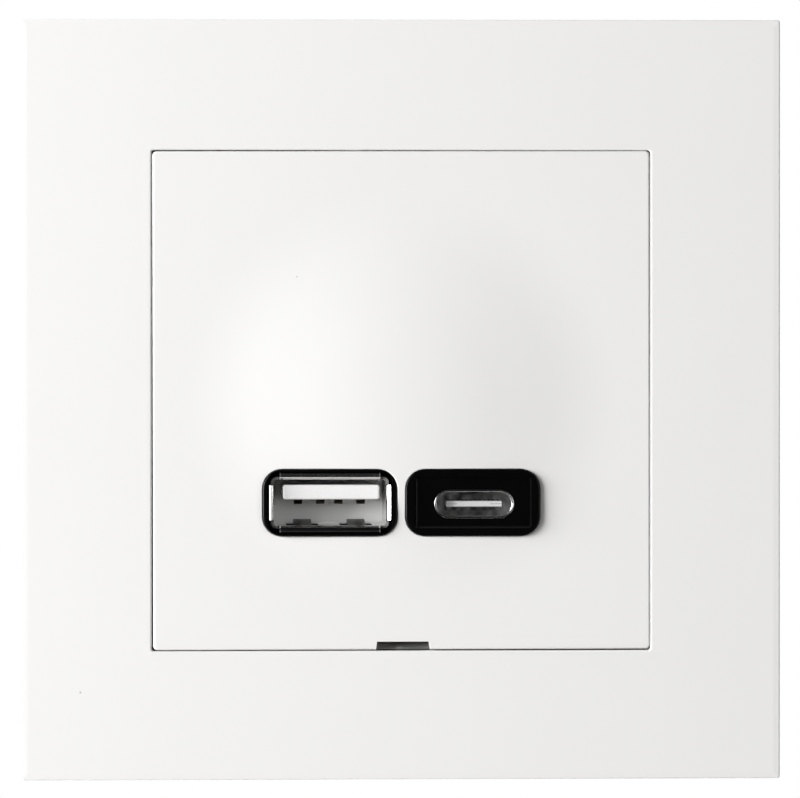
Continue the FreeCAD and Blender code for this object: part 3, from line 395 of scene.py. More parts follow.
def bare_edge(finish, x, y, z):
    """The mask of the steel plate's edge at the tip, whose shine is painted as a light grey, dimmer at the
    left and in a line at either end.
    """
    edge = finish.step(y, *(c_tongue_tip + depth for depth in C_PLATE_DEPTH))
    edge = edge * finish.band(z, *C_PLATE)
    left = finish.step(x, *(C_TONGUE_X - out for out in C_DIM))
    line = 0.45 * finish.band(z, *C_LINE) * finish.step(abs(x - C_TONGUE_X), *C_LINE_ENDS)
    return edge * (1.0 - 0.6 * left) * (1.0 - line)


def c_port_plastic():
    """Patchy dark grey behind a bright tip, its shine painted, with a faint glow in patches deeper in."""
    finish = Finish("grey_insulator", roughness=0.35, emission_strength=1.0)
    x, y, z = finish.axes(finish.place)
    bright = bare_edge(finish, x, y, z)
    patch = finish.noise(0.9 * MM, 2.0, (1.0, 1.0, 0.5))
    grey = finish.mix(patch, (0.14, 0.14, 0.142), (0.34, 0.34, 0.343))
    deep = finish.step(y, *(c_tongue_tip + depth for depth in C_GLOW_DEPTH))
    glow = finish.mix(deep * finish.step(patch, 0.35, 0.75), BLACK, (0.05, 0.05, 0.05))
    finish.skin(finish.noise(0.3 * MM, 4.0), 0.003 * MM)
    # The tip's steel edge: its shine is painted into the colour as a light grey.
    return finish.set(base_color=finish.mix(bright, grey, (0.68, 0.68, 0.675)), emission_color=glow)


def a_port_plastic():
    """White moulding whose back wall glows, most at the lower right."""
    finish = Finish("white_insulator", emission_strength=1.0)
    x, y, z = finish.axes(finish.place)
    grain = finish.noise(0.3 * MM, 4.0)
    wall = finish.step(y, *(port_wall + depth for depth in GLOW_DEPTH))
    lower = finish.step(z, *GLOW_Z)
    right = finish.step(x, *GLOW_X)
    glow = finish.mix(wall * lower * (0.4 + 0.6 * right), BLACK, (0.22, 0.22, 0.218))
    white = finish.mix(grain, (0.87, 0.866, 0.86), (0.95, 0.945, 0.94))
    finish.skin(grain, 0.003 * MM)
    return finish.set(base_color=white, roughness=0.4 + 0.1 * grain, emission_color=glow)


keep(c_port_plastic())
keep(a_port_plastic())

# %% [markdown]
# ## Metals
#
# Sheet steel keeps the grain of the rolling mill under its plating: streaks along one direction, some
# rougher than others. Noise that is drawn out along one axis gives them. The streaks move the roughness and
# the relief, and the colour only a little.

# %% Plated and bare metals
ALONG_Y = (1.0, 0.05, 1.0)
SHORT_ALONG_Y = (1.0, 0.1, 1.0)
ALONG_Z = (1.0, 1.0, 0.06)
CUT_EDGE_GLINT_COLOUR = (0.85, 0.845, 0.83)
IN_SHADE = 0.18


def metal(name, colour, roughness=0.3, streaks=ALONG_Z, places=None):
    """A metal with mill streaks along one axis. Places gives two masks: dark places take a small part of the
    colour, as painted dark reflections, and cut edges are pale and not metallic, as a sheared edge looks,
    their glints painted too."""
    finish = Finish(name, metallic=1.0)
    streak = finish.noise(0.4 * MM, 3.0, streaks)
    patch = finish.noise(3 * MM)
    finish.skin(streak, 0.002 * MM)
    tone = finish.mix(0.5 * patch + 0.3 * streak, colour, tuple(0.86 * part for part in colour))
    if places:
        # Painted dark reflections and painted glints on cut edges, as places gives them.
        dark, cut = places(finish)
        tone = finish.mix(dark, tone, tuple(IN_SHADE * part for part in colour))
        tone = finish.mix(cut, tone, CUT_EDGE_GLINT_COLOUR)
        finish.set(metallic=1.0 - cut)
    return finish.set(base_color=tone, roughness=(roughness - 0.08) + 0.12 * streak + 0.08 * patch)


keep(metal("steel_plate", (0.6, 0.61, 0.62), 0.36))
# The gold-plated contacts get a dark bronze colour, which paints the dark reflection they show deep in the
# ports.
keep(metal("contact_metal", (0.16, 0.13, 0.1), 0.25, SHORT_ALONG_Y))
keep(metal("bar_metal", (0.78, 0.58, 0.3), 0.3))
keep(metal("cage_metal", (0.63, 0.64, 0.66), 0.34))

# %% [markdown]
# ## Port shells
#
# Both shells are pressed from bright plated strip. Such metal has no look of its own: it shows what stands in
# front of it. In the photograph that is the dark room for the floor's spring fingers, the lower lip and the
# type C shell's left end. The press left the lips' ends and corners cut, and a cut edge is dull and catches
# light from everywhere. Black cards round the socket could shade the metal too, but they would also shade the
# white plate, so masks in the finish paint both into the colour: the dark room's reflection as painted shade,
# and the cut edges' glints as a pale colour.

# %% Port shells
FINGERS = (3.0 * MM, 1.7 * MM, 0.15 * MM)
FLOOR_Z = (-13.3 * MM, -13.4 * MM)
FLOOR_Y = (-8.8 * MM, -8.4 * MM)
LIP_TOP = (-14.05 * MM, -14.1 * MM)
LIP_FOOT = (-14.6 * MM, -14.5 * MM)
C_END = (3.8 * MM, 0.4 * MM, 0.6 * MM)
A_SIDE = (0.0, -0.5 * MM)
MOUTH = (-9.4 * MM, -9.6 * MM)
LIP_END = (5.55 * MM, 0.05 * MM, 0.04 * MM)
LIP_END_FROM = (2.4 * MM, 2.5 * MM)
LIP_END_TO = (2.85 * MM, 2.7 * MM)
CORNER_OUT = (5.7 * MM, 5.8 * MM)
CORNER_UP = (2.0 * MM, 2.1 * MM)


def shell_places(finish):
    """The masks of the painted dark reflections and of the cut edges, whose glints are painted.

    Out and up are the distances from the type A port's middle, sideways and in height, so that one mask
    serves both sides of it. A_side is 1 on the type A port and 0 on the type C port.
    """
    x, y, z = finish.axes(finish.place)
    out, up = abs(x + NOSE_X), abs(z - NOSE_Z)
    a_side = finish.step(x, *A_SIDE)
    fingers = finish.band(out, *FINGERS) * (finish.step(z, *FLOOR_Z) * finish.step(y, *FLOOR_Y))
    lip = finish.step(z, *LIP_TOP) * finish.step(z, *LIP_FOOT)
    # Painted dark reflections: the floor's fingers, the type A port's lower lip and the type C shell's left
    # end.
    dark = fingers + 0.85 * lip * a_side + 0.7 * finish.band(x, *C_END)
    # Painted glints on the lips' cut ends and the mouth's corners, where the cut edge is real.
    ends = finish.band(out, *LIP_END) * finish.step(up, *LIP_END_FROM)
    ends = ends * (0.15 + 0.75 * finish.step(up, *LIP_END_TO))
    corners = finish.step(out, *CORNER_OUT) * finish.step(up, *CORNER_UP)
    return dark, finish.step(y, *MOUTH) * a_side * (ends + 0.3 * corners)


keep(metal("shell_metal", (0.9, 0.895, 0.885), 0.16, ALONG_Y, shell_places))

# %% [markdown]
# ## Circuit boards
#
# A board is glass cloth under a green lacquer. The weave shows through as fine squares, and copper tracks
# under the lacquer look a little lighter. Threads as geometry would cost a million faces, so two crossed
# waves in the relief stand for them: a thread and its gap are 2 pi / WEAVE metres, 0.9 mm, apart.

# %% Boards
WEAVE = 7000.0


def board_finish():
    """Green lacquer with a woven relief of two crossed waves and lighter tracks along X."""
    finish = Finish("board", specular_ior_level=0.6)
    x, y, _ = finish.axes(finish.place)
    across, along = (x * WEAVE).sine(), (y * WEAVE).sine()
    tracks = finish.step(finish.noise(2.2 * MM, 0.0, (0.15, 1.0, 1.0)), 0.52, 0.55)
    finish.skin(0.5 + 0.25 * across + 0.25 * along, 0.02 * MM)
    green = finish.mix(tracks, (0.012, 0.1, 0.035), (0.03, 0.19, 0.07))
    return finish.set(base_color=green, roughness=0.25 + 0.1 * finish.noise(4 * MM))


keep(board_finish())

# %% [markdown]
# ## One finish for each material slot
#
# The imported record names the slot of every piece. A CAD node whose shape is already right only gets its
# slot's finish, and its mesh stays as it is.

# %% Give the CAD nodes their finishes
for part in frame["record"]["subparts"]:
    mesh = nodes[part["node"]].data
    mesh.materials.clear()
    mesh.materials.append(finishes[part["material_slot"]])
print("finishes:", len(finishes))

# %% [markdown]
# ## Outlines and profiles
#
# Most of this socket is an outline with round corners, carried along a profile: a wall, a rounded edge, a
# step. An outline is a row of points with the direction that leads outward at each. A profile is a row of
# steps, how far outward and how deep. We could draw each piece as a box and bevel it, but a bevel gives every
# edge one width. With a profile each edge's radius is a number that we choose.

# %% Outlines and profiles
ARC_STEPS = 8
LOWER_SIDE = 3 * (ARC_STEPS + 1)
EDGE_STEPS = 5
EDGE_ROWS = EDGE_STEPS + 3
EDGE_GUARD = 0.03 * MM
IN = -1.0
OUT = 1.0


def outline(half_x, half_z, radius, centre=(0.0, 0.0), splits=()):
    """A rectangle with round corners, as points and outward directions.

    Corner k holds centre + (half - radius) * signs + radius * (cos t, sin t) for t over its quarter turn.
    Splits add points along the lower side, at given x. The first of them has the number LOWER_SIDE.
    """
    quarter = np.linspace(0, math.pi / 2, ARC_STEPS + 1)
    t = (np.arange(4)[:, None] * math.pi / 2 + quarter).ravel()
    outward = np.stack([np.cos(t), np.sin(t)], axis=1)
    signs = np.repeat([(1, 1), (-1, 1), (-1, -1), (1, -1)], ARC_STEPS + 1, axis=0)
    points = np.array(centre) + signs * (np.array([half_x, half_z]) - radius) + radius * outward
    if splits:
        extra = np.array([(x, centre[1] - half_z) for x in splits])
        points = np.insert(points, LOWER_SIDE, extra, axis=0)
        outward = np.insert(outward, LOWER_SIDE, np.tile([0.0, -1.0], (len(splits), 1)), axis=0)
    return points, outward


def rounded(corners, radii):
    """A profile through corners (outward, depth), each rounded by its radius, EDGE_ROWS rows a rounding.

    A corner P between directions u and v becomes P - u r (1 - sin a) + v r (1 - cos a), for a from 0 to 90
    degrees. A guard point just before and after keeps the flat faces beside it flat in the light. The first
    and last corners have no radius and aren't in the profile: they only say where it comes from and goes,
    so they may lie far off, at IN or OUT.
    """
    corners = np.array(corners, float)
    steps = []
    a = np.linspace(0, math.pi / 2, EDGE_STEPS + 1)[:, None]
    for before, here, after, radius in zip(corners, corners[1:], corners[2:], radii):
        if radius == 0:
            steps.append(here[None])
            continue
        u = (here - before) / np.linalg.norm(here - before)
        v = (after - here) / np.linalg.norm(after - here)
        arc = here - u * radius * (1 - np.sin(a)) + v * radius * (1 - np.cos(a))
        reach = radius + EDGE_GUARD
        steps.extend([(here - u * reach)[None], arc, (here + v * reach)[None]])
    return np.concatenate(steps)


print("an outline has", len(outline(1, 1, 0.1)[0]), "points, a rounded edge", EDGE_ROWS, "rows")

# %% [markdown]
# ## Surfaces
#
# Carrying a profile round an outline is one sum, outline + outward * step, which numpy works out for all
# points at once. The points come out as a grid of rows that go round, and the faces join each point to its
# neighbours in the grid. A part is always a pair: points and faces.

# %% Sweeps, caps and boxes
def sweep(shape, profile):
    """Rows of points, one row for each step (outward, depth) of a profile carried round an outline."""
    points, outward = shape
    flat = points[None] + profile[:, None, :1] * outward[None]
    depth = np.broadcast_to(profile[:, None, 1:], flat.shape[:2] + (1,))
    return np.concatenate([flat[..., :1], depth, flat[..., 1:]], axis=2)


def skin_of(rows, closed=False, skip=None):
    """The part whose rows of points go round, the last row joined to the first where closed. Skip marks the
    faces (row, place) that are left out."""
    count, around = rows.shape[:2]
    row, place = np.meshgrid(np.arange(count if closed else count - 1), np.arange(around), indexing="ij")
    if skip is not None:
        kept = ~skip(row, place)
        row, place = row[kept], place[kept]
    row, place = row.ravel(), place.ravel()
    after, beside = (row + 1) % count, (place + 1) % around
    faces = np.stack([row * around + place, row * around + beside, after * around + beside,
                      after * around + place], axis=1)
    return rows.reshape(-1, 3), faces


def cap(row, flip=False):
    """One flat face that closes a row of points, turned over where flip."""
    around = np.arange(len(row))[None]
    return row, around[:, ::-1] if flip else around


def box(low, high):
    """The six faces of a box between two corners."""
    low, high = np.array(low, float), np.array(high, float)
    picks = np.indices((2, 2, 2)).reshape(3, 8).T
    faces = [(0, 1, 3, 2), (4, 6, 7, 5), (0, 4, 5, 1), (2, 3, 7, 6), (0, 2, 6, 4), (1, 5, 7, 3)]
    return np.where(picks == 1, high, low), np.array(faces)


def prism(section, low, high):
    """A section, corners (x, y) given counterclockwise, pushed from one height to another."""
    rows = np.stack([np.insert(section, 2, z, axis=1) for z in (low, high)])
    return [skin_of(rows), cap(rows[0], flip=True), cap(rows[1])]


def quarter_turn(part, times):
    """A part turned about the front-to-back axis by quarter turns: (x, z) becomes (z, -x)."""
    points, faces = part
    for _ in range(times):
        points = np.stack([points[:, 2], points[:, 1], -points[:, 0]], axis=1)
    return points, faces


print("a box has", len(box((0, 0, 0), (1, 1, 1))[1]), "faces")

# %% [markdown]
# ## From parts to a piece
#
# A Blender object is a mesh and a place. Here the place is always the origin, because the points already
# stand where they belong. The mesh is shaded smooth, so that the roundings look round, except where two
# faces meet at more than SHARP_DEGREES. Each piece takes over from one node of the CAD model and moves with
# that node's body.

# %% Make a piece from its parts
SHARP_DEGREES = 38

bodies_of = {node: body for body, held in frame["record"]["behaviour"]["bodies"].items() for node in held}


def piece(name, parts, node, slot):
    """One object from parts (points, faces), whose numbers shift by the points before them."""
    points = []
    faces = []
    start = 0
    for some, corners in parts:
        points.append(some)
        faces.extend((corners + start).tolist())
        start += len(some)
    mesh = bpy.data.meshes.new(name)
    mesh.from_pydata(np.concatenate(points), [], faces)
    mesh.validate()
    mesh.shade_smooth()
    mesh.set_sharp_from_angle(angle=math.radians(SHARP_DEGREES))
    mesh.materials.append(finishes[slot])
    made = bpy.data.objects.new(name, mesh)
    bpy.context.scene.collection.objects.link(made)
    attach(made, bodies_of[node])
    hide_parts(node)
    print(name, "points", start, "faces", len(faces))


print("nodes on moving bodies:", sum(body != "socket" for body in bodies_of.values()))

# %% [markdown]
# ## The cover frame
#
# On the real frame every edge that a finger can reach is rounded, because a sharp edge in a steel mould
# chips and a sharp edge in plastic hurts. Those roundings are what the light picks out as thin bright and
# dark lines, so they get their own steps in the profile. The section is one closed loop: rim on the wall,
# outer wall, front, window wall, ledge, collar, and back to the rim. The front falls by a hair over its
# outermost 0.7 mm, as moulded plates do where the plastic shrinks round a corner. That needs an outline of
# its own, because one outline moved inward by more than its corners' radius would fold over itself.
# WINDOW_SEEN is half the window's width and height as the photograph shows them, and the collar and the
# ledge behind it follow the model's WINDOW_HALF.

# %% Cover frame
FRAME_WALL = 2.0 * MM
FRAME_CORNER = 0.3 * MM
FRAME_EDGE = 0.15 * MM
FALL_WIDTH = 0.7 * MM
FALL_DEPTH = 0.04 * MM
WINDOW_HALF = 27.9 * MM
WINDOW_SEEN = (27.79 * MM, 27.86 * MM)
WINDOW_SHIFT = (0.01 * MM, -0.1 * MM)
WINDOW_EDGE = 0.2 * MM
COLLAR_WALL = 1.4 * MM
LEDGE_REACH = 1.2 * MM
LEDGE_DEPTH = 5.0 * MM
LEDGE_THICKNESS = 1.0 * MM
RIB_THICKNESS = 1.2 * MM
RIB_HEIGHT = 4.0 * MM
RIBS_PER_SIDE = 4
MOULD_EDGE = 0.12 * MM


def square(half, corner=FRAME_CORNER):
    """The outline of a square with round corners."""
    return outline(half, half, corner)


def frame_section():
    """The rows of points of the frame's section, each run of it carried round its own outline."""
    edge = front + FALL_DEPTH
    back = front + FRAME_WALL
    ledge = front + LEDGE_DEPTH
    foot = ledge + LEDGE_THICKNESS
    outer = square(frame_half)
    fall = square(frame_half - FALL_WIDTH, MOULD_EDGE)
    window = outline(*WINDOW_SEEN, FRAME_CORNER, WINDOW_SHIFT)
    hole = square(WINDOW_HALF - LEDGE_REACH)
    collar = square(WINDOW_HALF + COLLAR_WALL)
    wall = square(frame_half - FRAME_WALL)
    return np.concatenate([
        sweep(outer, rounded([(IN, 0), (0, 0), (0, edge), (IN, edge)], [MOULD_EDGE, FRAME_EDGE])),
        sweep(fall, np.array([(0.0, front), (-EDGE_GUARD, front)])),
        sweep(window, rounded([(OUT, front), (0, front), (0, ledge), (IN, ledge)], [WINDOW_EDGE, 0])),
        sweep(hole, rounded([(OUT, ledge), (0, ledge), (0, foot), (OUT, foot)], [MOULD_EDGE, MOULD_EDGE])),
        sweep(collar, rounded([(IN, foot), (0, foot), (0, back), (OUT, back)], [MOULD_EDGE, 0])),
        sweep(wall, rounded([(IN, back), (0, back), (0, 0), (OUT, 0)], [0, MOULD_EDGE]))])


def ribs():
    """Ribs behind the front from the collar to the outer wall, RIBS_PER_SIDE in even steps on each side."""
    back = front + FRAME_WALL
    collar = WINDOW_HALF + COLLAR_WALL
    wall = frame_half - FRAME_WALL
    for number in range(RIBS_PER_SIDE):
        x = (number - (RIBS_PER_SIDE - 1) / 2) * 2 * collar / RIBS_PER_SIDE
        rib = box((x - RIB_THICKNESS / 2, back - MOULD_EDGE, collar - MOULD_EDGE),
                  (x + RIB_THICKNESS / 2, back + RIB_HEIGHT, wall + MOULD_EDGE))
        yield from (quarter_turn(rib, times) for times in range(4))


piece("cover_frame_moulding", [skin_of(frame_section(), closed=True), *ribs()], "cover_frame", "white_cover")

# %% [markdown]
# ## The dome
#
# The plate looks flat until light grazes it. Its front swells by less than a millimetre: a round crown, a
# straight flank and a foot that ends level. The three meet at one slope, so no line shows where one ends
# and the next begins, while a plain ball's cap would end in a crease all round. The slope and the radii are
# those that give the rows of shade across the photograph.

# %% The dome
DOME_RADIUS = 24.0 * MM
CROWN_RADIUS = 0.44 * DOME_RADIUS
FOOT_RADIUS = 0.69 * DOME_RADIUS
DOME_SLOPE = math.radians(3.3)


def swell(x, z):
    """Height of the dome over the flat front: a crown arc, a straight flank and a foot arc.

    R is the distance from the middle and A = width / sin(slope) an arc's radius. The crown drops by
    A - sqrt(A A - R R) from the top, the flank falls with the slope, and the foot stands
    A - sqrt(A A - (D - R)^2) high, D being the dome's edge.
    """
    reach = np.hypot(x, z)
    crown = CROWN_RADIUS / math.sin(DOME_SLOPE)
    foot = (DOME_RADIUS - FOOT_RADIUS) / math.sin(DOME_SLOPE)
    half = math.tan(DOME_SLOPE / 2)
    knee = (DOME_RADIUS - FOOT_RADIUS) * half
    top = knee + CROWN_RADIUS * half + (FOOT_RADIUS - CROWN_RADIUS) * math.tan(DOME_SLOPE)
    near = top - (crown - np.sqrt(crown ** 2 - np.minimum(reach, CROWN_RADIUS) ** 2))
    flank = knee + (FOOT_RADIUS - reach) * math.tan(DOME_SLOPE)
    far = foot - np.sqrt(foot ** 2 - np.clip(DOME_RADIUS - reach, 0, DOME_RADIUS - FOOT_RADIUS) ** 2)
    return np.where(reach < CROWN_RADIUS, near, np.where(reach < FOOT_RADIUS, flank, far))


def domed(x, z):
    """Depth of the plate's front at x and z."""
    return front - swell(x, z)


print("the dome is", round(float(swell(0.0, 0.0)) / MM, 2), "mm high")

# %% [markdown]
# ## Nets inside outlines
#
# The domed front has two windows and a notch in it, so no grid of rows and columns fits it. Cutting them out
# with a Boolean would leave long thin faces that shade badly on a dome. A constrained triangulation is
# given the outlines and an even grid of points, and finds a net of even triangles that keeps to both.

# %% Nets
SAME_POINT = 1e-6
ROOM_ROWS = 500


def inside(points, loop):
    """Which points lie inside a loop: an odd number of its edges cross the ray to the right of them."""
    x, z = points[:, 0, None], points[:, 1, None]
    start, end = loop[None], np.roll(loop, -1, axis=0)[None]
    rises = (start[..., 1] > z) != (end[..., 1] > z)
    slope = (end[..., 0] - start[..., 0]) / np.where(rises, end[..., 1] - start[..., 1], 1.0)
    crossing = start[..., 0] + slope * (z - start[..., 1])
    return (rises & (x < crossing)).sum(axis=1) % 2 == 1


def between(points, outer, holes):
    """Which points lie inside one loop and outside the others."""
    return inside(points, outer) & ~np.any([inside(points, hole) for hole in holes], axis=0)


def trimmed(outer, holes, spacing):
    """A net of triangles between loops, over their points and those grid points that have room.

    Room is the distance to the nearest of the loops' points, and half the spacing is enough. It is worked
    out for some hundred grid points at a time, to keep the tables small. Points go in as millimetres, and
    those nearer than SAME_POINT count as one.
    """
    line = np.linspace(outer[:, 0].min(), outer[:, 0].max(), int(np.ptp(outer[:, 0]) / spacing))
    grid = np.stack(np.meshgrid(line, line), axis=2).reshape(-1, 2)
    rim = np.concatenate([outer, *holes])
    room = np.concatenate([np.hypot(*(some[:, None] - rim).transpose(2, 0, 1)).min(axis=1)
                           for some in np.array_split(grid, 1 + len(grid) // ROOM_ROWS)])
    points = np.concatenate([rim, grid[between(grid, outer, holes) & (room > spacing / 2)]])
    edges = []
    for loop in (outer, *holes):
        numbers = len(edges) + np.arange(len(loop))
        edges.extend(np.stack([numbers, np.roll(numbers, -1)], axis=1).tolist())
    found, _, faces, *_ = delaunay_2d_cdt((points / MM).tolist(), edges, [], 0, SAME_POINT)
    found, faces = np.array(found, float) * MM, np.array(faces)
    return found, faces[between(found[faces].mean(axis=1), outer, holes)]


def denser(rows, spacing):
    """A closed loop of rows (x, z, and what goes with them) with more of them along its long runs.

    A run of length L from A to B gets n = L / spacing rows, rounded, and at least one. They are
    A + (B - A) k / n for k from 0 to n - 1.
    """
    run = np.roll(rows, -1, axis=0) - rows
    counts = np.maximum(1, np.round(np.hypot(run[:, 0], run[:, 1]) / spacing)).astype(int)
    start = np.repeat(np.arange(len(rows)), counts)
    k = np.arange(len(start)) - np.repeat(np.cumsum(counts) - counts, counts)
    return rows[start] + run[start] * (k / counts[start])[:, None]


def flat_net(outer, holes, spacing, depth, toward):
    """A trimmed net laid at the depth that a function of x and z gives, facing toward -Y or +Y."""
    flat, faces = trimmed(outer, holes, spacing)
    skin = np.insert(flat, 1, depth(flat[:, 0], flat[:, 1]), axis=1)
    sides = skin[faces[:, 1:]] - skin[faces[:, :1]]
    turned = np.cross(sides[:, 0], sides[:, 1])[:, 1] * toward < 0
    return skin, np.where(turned[:, None], faces[:, ::-1], faces)


sheet = denser(np.array([(-1, -1), (1, -1), (1, 1), (-1, 1)]) * 10 * MM, 1 * MM)
print("a 20 mm sheet with a 5 mm hole takes", len(trimmed(sheet, [sheet / 4], 1 * MM)[1]), "triangles")

# %% [markdown]
# ## The pry notch
#
# A screwdriver's tip goes in here to lift the plate off its clips. Its walls lean a little, so that the
# mould's steel comes out again, and a ramp closes it at the back. It could be cut out of the finished plate,
# but it is simpler to leave out the faces across it and to line the opening with four flat ones. Its right
# side is a quarter of a millimetre further out than the model's, as in the photograph.

# %% The pry notch
NOTCH_SIDES = (-2.85 * MM, 3.2 * MM)
NOTCH_TOP = (-2.7 * MM, 3.05 * MM)
NOTCH_FOOT = 1.6 * MM

notch_top = -PLATE_HALF + NOTCH_HEIGHT


def notch(left_edge, right_edge):
    """Two side walls from the plate's edge columns, a ceiling, and a ramp up to it at the back."""
    floor = front + NOTCH_DEPTH
    left, right = (np.array([(x, front, notch_top), (x, floor, notch_top)]) for x in NOTCH_TOP)
    ceiling = np.array([left[0], right[0], right[1], left[1]])
    ramp = np.array([left_edge[0], right_edge[0], right[1], left[1]])
    return [cap(np.concatenate([left_edge, left])), cap(np.concatenate([right_edge, right]), flip=True),
            cap(ceiling), cap(ramp)]


print("the notch is", round((NOTCH_SIDES[1] - NOTCH_SIDES[0]) / MM, 2), "mm wide")

# %% [markdown]
# ## Clip legs and pads
#
# Four legs with a hook hold the plate in the frame, and three low pads keep it in the middle of its window.
# The legs are one section pushed along Z. The pads are plain boxes: hardly anything of them shows in the
# gap round the plate.

# %% Clip legs and pads
SKIRT_WALL = 1.5 * MM
LEG_SECTION = np.array([(24.4, -8.2), (25.6, -8.2), (25.6, 0.1), (26.7, 0.1), (26.7, 0.675), (25.2, 2.4),
                        (24.4, 2.4)]) * MM
LEG_WIDTH = 6.0 * MM
LEG_SPREAD = 20.0 * MM
LEFT_PADS = ((6.7 * MM, 3.8 * MM),)
TOP_PADS = ((-5.4 * MM, 1.8 * MM), (5.9 * MM, 4.3 * MM))
PAD_REACH = 27.74 * MM
PAD_SETBACK = 0.8 * MM
PAD_DEPTH = 2.5 * MM


def legs():
    """The leg's section and its mirror image, each at two heights."""
    for side in (-1, 1):
        for z in (-LEG_SPREAD / 2, LEG_SPREAD / 2):
            yield from prism((LEG_SECTION * (side, 1))[::side], z - LEG_WIDTH / 2, z + LEG_WIDTH / 2)


def pads():
    """Boxes from the middle of the skirt's wall out to PAD_REACH, with their places and lengths along it."""
    wall = PLATE_HALF - SKIRT_WALL / 2
    start = front + PAD_SETBACK
    end = start + PAD_DEPTH
    for z, length in LEFT_PADS:
        yield box((-PAD_REACH, start, z - length / 2), (-wall, end, z + length / 2))
    for x, length in TOP_PADS:
        yield box((x - length / 2, start, wall), (x + length / 2, end, PAD_REACH))


print("legs:", len(list(legs())) // 3, "pads:", len(list(pads())))

# %% [markdown]
# ## The centre plate
#
# Skirt, edge and front are one moulding. The skirt and the rounded edge are a profile carried round the
# outline, the front is a net on the dome, and each window has a small rounded brim that leads from the front
# into its wall. The real plate sits a hair low and askew in its window, and so does this one: PLATE_SEEN is
# half its width and height as the photograph shows them.

# %% Centre plate
PLATE_SEEN = (27.7 * MM, 27.75 * MM)
PLATE_SHIFT = (0.05 * MM, -0.08 * MM)
PLATE_TILT = math.radians(0.07)
PLATE_CORNER = 0.5 * MM
PLATE_EDGE = 0.22 * MM
PLATE_FRONT = 2.0 * MM
NOSE_HALF = (7.48 * MM, 3.725 * MM)
NOSE_CORNER = 2.2 * MM
NOSE_GAP = 0.04 * MM
BRIM = 0.1 * MM
NET = 0.7 * MM
BACK_NET = 8 * NET


def tilted(shape):
    """An outline turned in its plane: (x, z) becomes (x cos t - z sin t, x sin t + z cos t)."""
    cosine, sine = math.cos(PLATE_TILT), math.sin(PLATE_TILT)
    turn = np.array([(cosine, sine), (-sine, cosine)])
    return tuple(rows @ turn for rows in shape)


def edge_and_notch(inner):
    """The skirt from an inner outline out and round the edge, with the notch, and the front's rim."""
    ledge = front + LEDGE_DEPTH
    edge = rounded([(IN, ledge), (0, ledge), (0, front + NOTCH_FOOT), (0, front), (IN, front)],
                   [MOULD_EDGE, 0, PLATE_EDGE])
    shape = tilted(outline(*PLATE_SEEN, PLATE_CORNER, PLATE_SHIFT, NOTCH_SIDES))
    skirt = np.array([(0.0, front + PLATE_FRONT), (0.0, ledge)])
    rows = np.concatenate([sweep(inner, skirt), sweep(shape, edge)])
    foot = len(rows) - 1 - EDGE_ROWS
    parts = [skin_of(rows, skip=lambda row, place: (row >= foot) & (place == LOWER_SIDE))]
    parts.extend(notch(rows[foot:, LOWER_SIDE], rows[foot:, LOWER_SIDE + 1]))
    bite = [(x, notch_top) for x in NOTCH_TOP]
    return parts, np.insert(rows[-1][:, [0, 2]], LOWER_SIDE + 1, bite, axis=0)


def centre_plate():
    """Edge, skirt and notch, the windows' brims and walls, the domed front, the flat back, legs and pads."""
    back = front + PLATE_FRONT
    inner = outline(PLATE_HALF - SKIRT_WALL, PLATE_HALF - SKIRT_WALL, PLATE_CORNER, splits=NOTCH_SIDES)
    parts, rim = edge_and_notch(inner)
    brim = rounded([(OUT, 0), (0, 0), (0, 1)], [BRIM])
    fronts = []
    backs = []
    for side in (-1, 1):
        window = outline(NOSE_HALF[0] + NOSE_GAP, NOSE_HALF[1] + NOSE_GAP, NOSE_CORNER + NOSE_GAP,
                         (side * NOSE_X, NOSE_Z))
        window = np.hsplit(denser(np.concatenate(window, axis=1), NET), 2)
        lip = sweep(window, brim)
        lip[:, :, 1] += domed(lip[:, :, 0], lip[:, :, 2])
        parts.append(skin_of(np.concatenate([lip, sweep(window, np.array([(0.0, back)]))])))
        fronts.append(lip[0][:, [0, 2]])
        backs.append(window[0])
    parts.append(flat_net(denser(rim, NET), fronts, NET, domed, -1))
    parts.append(flat_net(denser(inner[0], BACK_NET), backs, BACK_NET, lambda x, z: back, 1))
    return [*parts, *legs(), *pads()]


piece("centre_plate_moulding", centre_plate(), "centre_plate", "white_cover")

# %% [markdown]
# ## The type A tongue
#
# The white tongue carries the type A port's contacts. Its front edges are rounded so that a plug slides
# over them, and that rounding is what makes the tongue's outline soft. A block behind it closes the shell.
# Both are an outline with round corners, pushed back and capped at both ends. A box with a Bevel modifier
# would look much the same, but here the tip and the back keep radii of their own.

# %% Type A tongue
A_TONGUE_HALF = (5.38 * MM, 0.82 * MM)
A_TONGUE_CENTRE = (-7.8 * MM, -10.3 * MM)
A_TONGUE_CORNER = 0.3 * MM
A_TONGUE_EDGE = 0.2 * MM
BLOCK_HALF = (6.2 * MM, 2.51 * MM)
BLOCK_CORNER = 0.25 * MM


def pushed(shape, start, end, edge):
    """An outline pushed from one depth to another, its edge rounded at the start."""
    rows = sweep(shape, rounded([(IN, end), (0, end), (0, start), (IN, start)], [MOULD_EDGE, edge]))
    return [skin_of(rows), cap(rows[-1]), cap(rows[0], flip=True)]


def usb_a_insulator():
    """The tongue from its tip to the back wall, and the block from there to the end."""
    low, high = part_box("usb_a_insulator")
    tongue = outline(*A_TONGUE_HALF, A_TONGUE_CORNER, A_TONGUE_CENTRE)
    block = outline(*BLOCK_HALF, BLOCK_CORNER, (low[0] + BLOCK_HALF[0], NOSE_Z))
    return [*pushed(tongue, low[1], port_wall, A_TONGUE_EDGE), *pushed(block, port_wall, high[1], MOULD_EDGE)]


piece("usb_a_tongue_moulding", usb_a_insulator(), "usb_a_insulator", "white_insulator")

